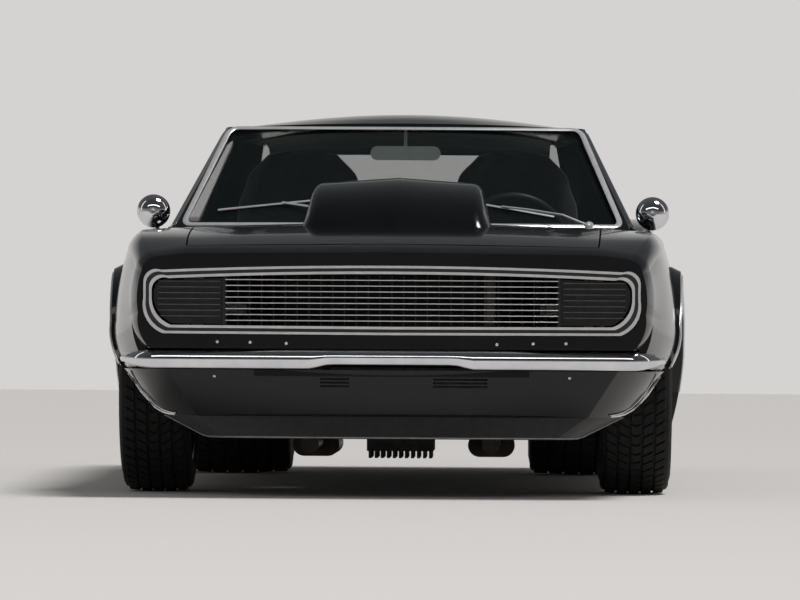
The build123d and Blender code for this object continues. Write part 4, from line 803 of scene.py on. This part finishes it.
def bumper_path():
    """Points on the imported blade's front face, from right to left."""
    half = []
    for step in range(33):
        x = 0.800 * step / 32
        spot, _ = surface("front_bumper", (x, FAR_FRONT, BUMPER_MID), INTO_CAR)
        half.append(Vector((x, spot.y, 0)))
    for y in (-0.755, -0.735, -0.715, -0.695):
        spot, _ = surface("front_bumper", (FAR_SIDE, SHIFT_Y + y, BUMPER_MID), (-1, 0, 0))
        if spot is not None and spot.x > half[-1].x and SHIFT_Y + y > half[-1].y + 0.004:
            half.append(Vector((spot.x, SHIFT_Y + y, 0)))
    return [Vector((-spot.x, spot.y, 0)) for spot in reversed(half[1:])] + half


path = bumper_path()
points = []
for i, spot in enumerate(path):
    before = path[max(0, i - 1)]
    after = path[min(len(path) - 1, i + 1)]
    along = (after - before).normalized()
    out = Vector((along.y, -along.x, 0))
    from_end = min(1.0, max(0.0, (BLADE_END_X - abs(spot.x)) / BLADE_TAPER))
    shrink = 0.42 + 0.58 * sin(pi / 2 * from_end)
    notch = NOTCH_DEPTH * min(1.0, max(0.0, (NOTCH_X - abs(spot.x)) / 0.05))
    middle = BUMPER_MID + 0.004 * (1 - shrink)
    low = middle - (middle - BUMPER_LOW) * shrink + notch
    high = middle + (BUMPER_HIGH - middle) * shrink
    for depth, share in BLADE_FORM:
        place = spot - out * depth
        points.append((place.x, place.y, low + (high - low) * share))
size = len(BLADE_FORM)
faces = rows_to_faces(len(path), size, False, True) + ends(len(path), size)
blade = add_mesh("bumper_blade", points, faces, chrome, "body", 50.0)
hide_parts("front_bumper")
ears = []
for sign in (1, -1):
    low_x, high_x = sorted((sign * 0.350, sign * 0.400))
    ears.append(plate("ear", (low_x, SHIFT_Y - 0.898, 0.4003), (high_x, SHIFT_Y - 0.700, 0.430), frame_black,
                      "body"))
join("bumper_brackets", ears)
print("bumper path points", len(path))

# %% [markdown]
# ## Lower edge of the front wings
# Below the bumper the wing's edge sweeps down and inwards in front of the tyre as a rolled lip with a bright
# double moulding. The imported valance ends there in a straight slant, so a thin curved web carries the lip.

# %% Curved lips under the bumper
LIP_Y = SHIFT_Y - 0.402
# Columns: x and z of the lip's edge, from the bumper down to the spoiler's end.
LIP = ((0.832, 0.402), (0.824, 0.374), (0.808, 0.345), (0.790, 0.319), (0.768, 0.294), (0.744, 0.274),
       (0.716, 0.2605), (0.694, 0.2555), (0.672, 0.2535))
# The second line of the moulding closes in on the edge towards its lower end.
LINE_ACROSS = 0.013
LINE_UP = 0.011
LINE_CLOSES = 11


def on_valance(x, z):
    """A point on the lip, in front of the valance where that stands further forward."""
    spot, _ = surface("front_valance", (x, FAR_FRONT, z), INTO_CAR)
    front = LIP_Y if spot is None else min(LIP_Y, spot.y - 0.003)
    return Vector((x, front, z))


THICK = Vector((0, 0.006, 0))
PROUD = Vector((0, -0.003, 0))
for side, sign in SIDES:
    edge = [on_valance(sign * x, z) for x, z in LIP]
    inner = []
    for index, (x, z) in enumerate(LIP):
        share = 1 - index / LINE_CLOSES
        inner.append(on_valance(sign * (x - LINE_ACROSS * share), z + LINE_UP * share))
    web = []
    for spot, inside in zip(edge, inner):
        deep = inside + Vector((-sign * 0.030, 0.0, 0.020))
        web += [spot, inside + PROUD, deep, deep + THICK, spot + THICK]
    faces = rows_to_faces(len(edge), 5, False, True) + ends(len(edge), 5)
    add_mesh("wing_lip_" + side, web, faces, black_paint, "body")
    forward = [Vector((sign * 0.35, -0.9, -0.25)).normalized()] * len(edge)
    strip("wing_lip_strip_" + side, edge, forward, 0.008, 0.006, bright, "body")
    line = [spot + PROUD for spot in inner]
    strip("wing_lip_line_" + side, line, forward, 0.004, 0.004, bright, "body")
print("lips 2")

# %% [markdown]
# The chin spoiler is black plastic that is screwed on below the valance. Its lower edge carries a thin grey
# rubbing strip. The slanting ends are found by stepping inwards until a ray meets the spoiler.

# %% Rubbing strip on the spoiler
SPOILER_HIGH = 0.2500
SPOILER_LOW = 0.1860
SLANT_STEP = 0.0055
slant = []
for step in range(12):
    z = SPOILER_HIGH - SLANT_STEP * step
    x = 0.80
    while surface("chin_spoiler", (x, FAR_FRONT, z), INTO_CAR)[0] is None and x > 0.5:
        x -= 0.001
    slant.append((x - 0.003, z))
bottom = [(slant[-1][0] * (1 - step / 30), SPOILER_LOW) for step in range(1, 60)]
line = slant + bottom + [(-x, z) for x, z in reversed(slant)]
path, outs = follow("chin_spoiler", [(x, FAR_FRONT, z) for x, z in line], INTO_CAR)
strip("spoiler_edge", path, outs, 0.005, 0.003, rub_grey, "body")
print("spoiler edge points", len(path))

# %% [markdown]
# ## Lines on the grille and the headlamp doors
# The bars are dark with a thin bright leading edge. A strip a couple of millimetres high on each bar draws
# the fine lines of the photograph, and dimmer ones run on over the ribs of the headlamp doors.

# %% Bright edges on the bars
BAR_COUNT = 8
BAR_PITCH = 0.0177
BAR_MIDDLE_Z = 0.602
BAR_END_X = 0.506
RIB_LOWEST_Z = 0.5535
edges = []
for index in range(BAR_COUNT):
    z = BAR_MIDDLE_Z + (index - (BAR_COUNT - 1) / 2) * BAR_PITCH
    edges.append(plate("edge", (-BAR_END_X, GRILLE_Y - 0.0014, z + 0.0008),
                       (BAR_END_X, GRILLE_Y + 0.0004, z + 0.0034), bright, "body", 0.0006))
join("bar_edges", edges)
for side, sign in SIDES:
    ribs = []
    low_x, high_x = sorted((sign * 0.522, sign * 0.711))
    for index in range(BAR_COUNT - 1):
        z = RIB_LOWEST_Z + index * BAR_PITCH
        ribs.append(plate("rib", (low_x, GRILLE_Y + 0.0126, z), (high_x, GRILLE_Y + 0.0145, z + 0.0024),
                          dim_trim, "headlamp_door_" + side, 0.0006))
    join("lamp_door_ribs_" + side, ribs)
print("bars", BAR_COUNT, "ribs", 2 * (BAR_COUNT - 1))

# %% [markdown]
# ## Seats
# A seat is foam under a sewn cover: it swells between its seams and is tight along them. Cloth simulation
# could make the swelling, but here it is modelled: each pad is a closed ring section that is full in the
# middle, with raised side bolsters and sewn channels pressed in by moving its points. It gives the same
# result on each run and keeps the seams sharp.

# %% A helper for sewn pads
PAD_ROWS = 40
PAD_RING = 72
SEAM_DEPTH = 0.007
CHANNEL_DEPTH = 0.006


def smooth_step(low, high, value):
    """From 0 to 1 between two values, softly."""
    t = min(1.0, max(0.0, (value - low) / (high - low)))
    return t * t * (3 - 2 * t)


def groove(value, centre, half):
    """1 in the middle of a seam and 0 outside it."""
    return max(0.0, 1.0 - ((value - centre) / half) ** 2) ** 2


def between(values, v):
    """Where v, from 0 to 1, falls in a row of values: the one before, the one after and the share."""
    place = min(v * (len(values) - 1), len(values) - 1.0001)
    return values[int(place)], values[int(place) + 1], place - int(place)


def pad(name, x, spine, widths, thick, face, bolster=0.0, seams=(), channels=0, shape=4.0):
    """A sewn pad. Spine is (y, z) from one end to the other, face the (y, z) side that is sat on."""
    points = []
    for i in range(PAD_ROWS + 1):
        v = i / PAD_ROWS
        end = (1.0 - abs(2 * v - 1) ** 9) ** 0.36
        here, after, share = between(spine, v)
        y = here[0] + (after[0] - here[0]) * share
        z = here[1] + (after[1] - here[1]) * share
        narrow, wide, share = between(widths, v)
        half = (narrow + (wide - narrow) * smooth_step(0, 1, share)) * (0.90 + 0.10 * end)
        for j in range(PAD_RING):
            turn = 2 * pi * j / PAD_RING
            a = abs(cos(turn)) ** (2 / shape) * (1 if cos(turn) >= 0 else -1)
            b = abs(sin(turn)) ** (2 / shape) * (1 if sin(turn) >= 0 else -1)
            depth = b * thick * max(end, 0.02)
            if b > 0:
                on_face = smooth_step(0.2, 0.9, b) * end
                depth -= on_face * bolster * (1 - smooth_step(0.45, 0.80, abs(a)))
                depth += on_face * 0.10 * thick * (1 - a * a) * (1 - (2 * v - 1) ** 2)
                for seam in seams:
                    depth -= on_face * SEAM_DEPTH * groove(abs(a), seam, 0.035)
                if channels:
                    inside = 1 - smooth_step(0.48, 0.56, abs(a))
                    phase = v * channels - int(v * channels)
                    depth -= on_face * inside * CHANNEL_DEPTH * groove(min(phase, 1 - phase), 0.0, 0.16)
            points.append((x + a * half, y + face[0] * depth, z + face[1] * depth))
    faces = rows_to_faces(PAD_ROWS + 1, PAD_RING, False, True) + ends(PAD_ROWS + 1, PAD_RING)
    piece = add_mesh(name, points, faces, cloth, "body", 60.0)
    smoother = piece.modifiers.new("soft", "SUBSURF")
    smoother.levels = smoother.render_levels = 1
    bpy.context.view_layer.objects.active = piece
    bpy.ops.object.modifier_apply(modifier=smoother.name)
    return piece


print("pads of", PAD_ROWS, "rows and", PAD_RING, "points round")

# %% [markdown]
# The front seats are high-backed buckets with tall side bolsters and a narrow shoulder, as they show through
# the glass. The rear bench has two hollows with a seam between them.

# %% The seats
SEAT_X = 0.370
SEAT_LEAN = 0.218
LEAN_WAY = (-cos(SEAT_LEAN), sin(SEAT_LEAN))
# Half widths from the bottom of the back to its top.
BACK_WIDTHS = (0.205, 0.218, 0.229, 0.232, 0.232, 0.226, 0.196, 0.125)
SHELL_WIDTHS = (0.190, 0.205, 0.218, 0.222, 0.221, 0.214, 0.184, 0.112)
seat_pieces = []
for side, sign in SIDES:
    x = sign * SEAT_X
    cushion = pad("seat_cushion_" + side, x, ((SHIFT_Y + 1.184, 0.325), (SHIFT_Y + 1.656, 0.318)),
                  (0.200, 0.213, 0.208), 0.083, (0, 1), bolster=0.030, seams=(0.62,), channels=7)
    back = pad("seat_back_" + side, x, ((SHIFT_Y + 1.632, 0.425), (SHIFT_Y + 1.803, 1.150)), BACK_WIDTHS,
               0.050, LEAN_WAY, bolster=0.034, seams=(0.62,), channels=10)
    shell = pad("seat_shell_" + side, x, ((SHIFT_Y + 1.690, 0.330), (SHIFT_Y + 1.829, 1.125)), SHELL_WIDTHS,
                0.020, LEAN_WAY, shape=3.0)
    shell.data.materials[0] = black_trim
    base = plate("base", (x - 0.165, SHIFT_Y + 1.23, 0.222), (x + 0.165, SHIFT_Y + 1.59, 0.250), frame_black,
                 "body", 0.008)
    rails = [plate("rail", (x + offset - 0.014, SHIFT_Y + 1.20, 0.2205),
                   (x + offset + 0.014, SHIFT_Y + 1.62, 0.232), steel, "body", 0.003)
             for offset in (-0.15, 0.15)]
    seat_pieces += [cushion, back, shell, join("seat_rails_" + side, [base] + rails)]
for piece in seat_pieces:
    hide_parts("front_seats")

BENCH_Y = SHIFT_Y + 2.331
bench = [
    pad("rear_cushion", 0.0, ((BENCH_Y - 0.185, 0.575), (BENCH_Y + 0.215, 0.592)), (0.382, 0.386, 0.380),
        0.040, (0, 1), bolster=0.012, seams=(0.0, 0.5), channels=6, shape=7.0),
    pad("rear_apron", 0.0, ((BENCH_Y - 0.110, 0.230), (BENCH_Y - 0.106, 0.560)), (0.380, 0.384),
        0.080, (-1, 0), shape=8.0),
    pad("rear_back", 0.0, ((BENCH_Y + 0.262, 0.562), (BENCH_Y + 0.335, 0.842)), (0.384, 0.386, 0.378),
        0.046, (-0.968, 0.25), bolster=0.012, seams=(0.0, 0.5), channels=5, shape=7.0),
]
for piece in bench:
    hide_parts("rear_seat")
print("seat pieces", len(seat_pieces), "bench pads", len(bench))

# %% [markdown]
# ## Cabin trim
# Behind the glass the driver has a hooded instrument cluster, round dials, vents and a gear lever on the
# tunnel. The dials carry plain marks. The door panels are soft and dark.

# %% Dashboard and lever
DIAL_Z = 0.735
DIAL_SWEEP = 270.0
MARKS = 9
# Columns: x, radius.
DIALS = ((0.300, 0.050), (0.440, 0.050), (0.190, 0.026), (0.545, 0.026))
dials = []
for x, radius in DIALS:
    spot, _ = surface("dashboard", (x, 1.0, DIAL_Z), -INTO_CAR)
    form = ((-0.002, radius + 0.006), (0.006, radius + 0.006), (0.010, radius + 0.002),
            (0.006, radius - 0.002), (0.003, radius - 0.004), (0.003, 0.0))
    dials.append(turned("ring", form, (x, spot.y, DIAL_Z), INTO_CAR, black_trim, "body"))
    for mark in range(MARKS):
        turn = radians(-DIAL_SWEEP / 2 + DIAL_SWEEP * mark / (MARKS - 1))
        mark_x = x + sin(turn) * radius * 0.78
        mark_z = DIAL_Z + cos(turn) * radius * 0.78
        dials.append(plate("mark", (mark_x - 0.0015, spot.y + 0.002, mark_z - 0.0035),
                           (mark_x + 0.0015, spot.y + 0.0042, mark_z + 0.0035), dial_white, "body", 0.0004))
join("dials", dials)
VANES = 5
vents = []
for x in (-0.62, -0.05, 0.05, 0.66):
    for index in range(VANES):
        z = 0.770 + index * 0.007
        spot, _ = surface("dashboard", (x, 1.0, z), -INTO_CAR)
        vents.append(plate("vane", (x - 0.035, spot.y - 0.001, z), (x + 0.035, spot.y + 0.004, z + 0.003),
                           dim_trim, "body", 0.0006))
join("dash_vents", vents)
TUNNEL_TOP = 0.340
LEVER_Y = SHIFT_Y + 1.12
LEVER_WAY = (0.05, 0.12, 1.0)
STICK_FORM = ((0.0, 0.008), (0.20, 0.006), (0.21, 0.012), (0.225, 0.021), (0.245, 0.023), (0.262, 0.014),
              (0.266, 0.0))
BOOT_FORM = ((0.0, 0.062), (0.012, 0.055), (0.020, 0.042), (0.028, 0.046), (0.036, 0.030), (0.050, 0.022),
             (0.058, 0.010))
stick = turned("stick", STICK_FORM, (0.0, LEVER_Y, TUNNEL_TOP + 0.004), LEVER_WAY, black_trim, "body")
boot = turned("boot", BOOT_FORM, (0.0, LEVER_Y, TUNNEL_TOP), LEVER_WAY, cloth, "body")
join("gear_lever", [stick, boot])
print("dials", len(DIALS), "vents 4, lever 1")

# %% [markdown]
# A door's inner face has a padded arm rest, two beads pressed into its cover and a window winder. They ride
# on the door, so they swing out with it.

# %% Door panels
PANEL_X = 0.7455
WINDER_FORM = ((0.0, 0.018), (0.010, 0.016), (0.014, 0.008), (0.030, 0.008), (0.034, 0.0))
for side, sign in SIDES:
    body = "door_" + side
    low_x, high_x = sorted((sign * 0.705, sign * 0.7452))
    panel = [plate("rest", (low_x, SHIFT_Y + 1.15, 0.600), (high_x, SHIFT_Y + 1.50, 0.636), cloth, body,
                   0.012)]
    low_x, high_x = sorted((sign * 0.7425, sign * PANEL_X))
    for z in (0.430, 0.700):
        panel.append(plate("bead", (low_x, SHIFT_Y + 0.86, z), (high_x, SHIFT_Y + 1.80, z + 0.008), dim_trim,
                           body, 0.001))
    panel.append(turned("winder", WINDER_FORM, (sign * PANEL_X, SHIFT_Y + 1.02, 0.56), (-sign, 0, 0), chrome,
                        body, 20))
    join("door_panel_" + side, panel)
print("door panels 2")

# %% [markdown]
# ## Roof lining
# A cloth lining hangs on wires below the roof and comes down to the top of the rear window, so the roof's
# underside isn't bare metal. It is a thin curved sheet with a sewn seam over each wire.

# %% Roof lining
LINING_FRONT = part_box("windshield")[1][1] + 0.025
LINING_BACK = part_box("rear_window")[0][1] - 0.006
LINING_HALF = 0.50
LINING_ROWS = 46
LINING_COLUMNS = 24
LINING_THICK = 0.004
WIRES = 5
SAG = 0.010
points = []
for i in range(LINING_ROWS + 1):
    v = i / LINING_ROWS
    y = LINING_FRONT + (LINING_BACK - LINING_FRONT) * v
    drop = 0.016 + SAG * abs(sin(pi * v * WIRES)) ** 0.5 + 0.022 * smooth_step(0.85, 1.0, v)
    for j in range(LINING_COLUMNS + 1):
        u = 2 * j / LINING_COLUMNS - 1
        spot, _ = surface("roof", (LINING_HALF * u, y, 0.9), (0, 0, 1))
        points.append((LINING_HALF * u, y, spot.z - drop - 0.012 * u ** 6))
below = len(points)
points += [(x, y, z + LINING_THICK) for x, y, z in points]
width = LINING_COLUMNS + 1
lower = rows_to_faces(LINING_ROWS + 1, width, False, False)
faces = lower + [tuple(below + corner for corner in reversed(face)) for face in lower]
rows = range(1, LINING_ROWS)
border = list(range(width)) + [i * width + width - 1 for i in rows]
border += [LINING_ROWS * width + j for j in reversed(range(width))] + [i * width for i in reversed(rows)]
faces += [(a, b, below + b, below + a) for a, b in zip(border, border[1:] + border[:1])]
add_mesh("roof_lining", points, faces, cloth, "body", 60.0)
print("lining", len(faces), "faces, from", round(LINING_FRONT, 3), "to", round(LINING_BACK, 3))

# %% [markdown]
# ## Tail and sides
# Each tail lamp sits in a bright frame and its red glass is ribbed, so that it glitters. Two dark bars part
# it in three. A ray finds the depth of each point of the frame, on the panel or on the glass.

# %% Tail lamp frames and ribs
LAMP_LOW = 0.646
LAMP_HIGH = 0.774
LAMP_RIBS = 9
for side, sign in SIDES:
    outline = ((sign * 0.426, LAMP_LOW), (sign * 0.724, LAMP_LOW), (sign * 0.724, LAMP_HIGH),
               (sign * 0.426, LAMP_HIGH))
    path = []
    for flat in spread(rounded(outline, 0.012), 0.04):
        start = (flat.x, FAR_REAR, flat.y)
        hits = [surface(node, start, -INTO_CAR)[0] for node in ("tail_panel", "tail_lamps")]
        depths = [spot.y for spot in hits if spot is not None]
        if depths:
            path.append(Vector((flat.x, max(depths), flat.y)))
    strip("tail_lamp_frame_" + side, path, [INTO_CAR] * len(path), 0.010, 0.011, bright, "body", closed=True)
    spot, _ = surface("tail_lamps", (sign * 0.575, FAR_REAR, (LAMP_LOW + LAMP_HIGH) / 2), -INTO_CAR)
    low_x, high_x = sorted((sign * 0.436, sign * 0.714))
    ribs = []
    for index in range(LAMP_RIBS):
        z = LAMP_LOW + 0.015 + index * 0.0115
        ribs.append(plate("rib", (low_x, spot.y - 0.0005, z), (high_x, spot.y + 0.003, z + 0.006), red_lens,
                          "body", 0.0012))
    join("tail_lamp_ribs_" + side, ribs)
    bars = []
    for x in (0.525, 0.622):
        bars.append(plate("bar", (sign * x - 0.003, spot.y, LAMP_LOW + 0.006),
                          (sign * x + 0.003, spot.y + 0.0055, LAMP_HIGH - 0.006), black_trim, "body", 0.001))
    join("tail_lamp_bars_" + side, bars)
print("lamp frames 2, ribs", 2 * LAMP_RIBS)

# %% [markdown]
# The divider follows the glass from the waist up. The lock is a small chrome button under the handle.

# %% Window dividers and door locks
LOCK_FORM = ((-0.002, 0.011), (0.001, 0.011), (0.003, 0.009), (0.0035, 0.0))
DIVIDER_LOW = 0.900
DIVIDER_HEIGHT = 0.275
for side, sign in SIDES:
    inwards = (-sign, 0, 0)
    starts = [(sign * FAR_SIDE, SHIFT_Y + 1.897, DIVIDER_LOW + DIVIDER_HEIGHT * step / 12)
              for step in range(13)]
    path, outs = follow("quarter_windows", starts, inwards)
    strip("window_divider_" + side, path, outs, 0.010, 0.004, bright, "body")
    spot, out = surface("door_" + side, (sign * FAR_SIDE, SHIFT_Y + 1.835, 0.742), inwards)
    turned("door_lock_" + side, LOCK_FORM, spot, out, chrome, "door_" + side, 24)
print("dividers 2, locks 2")
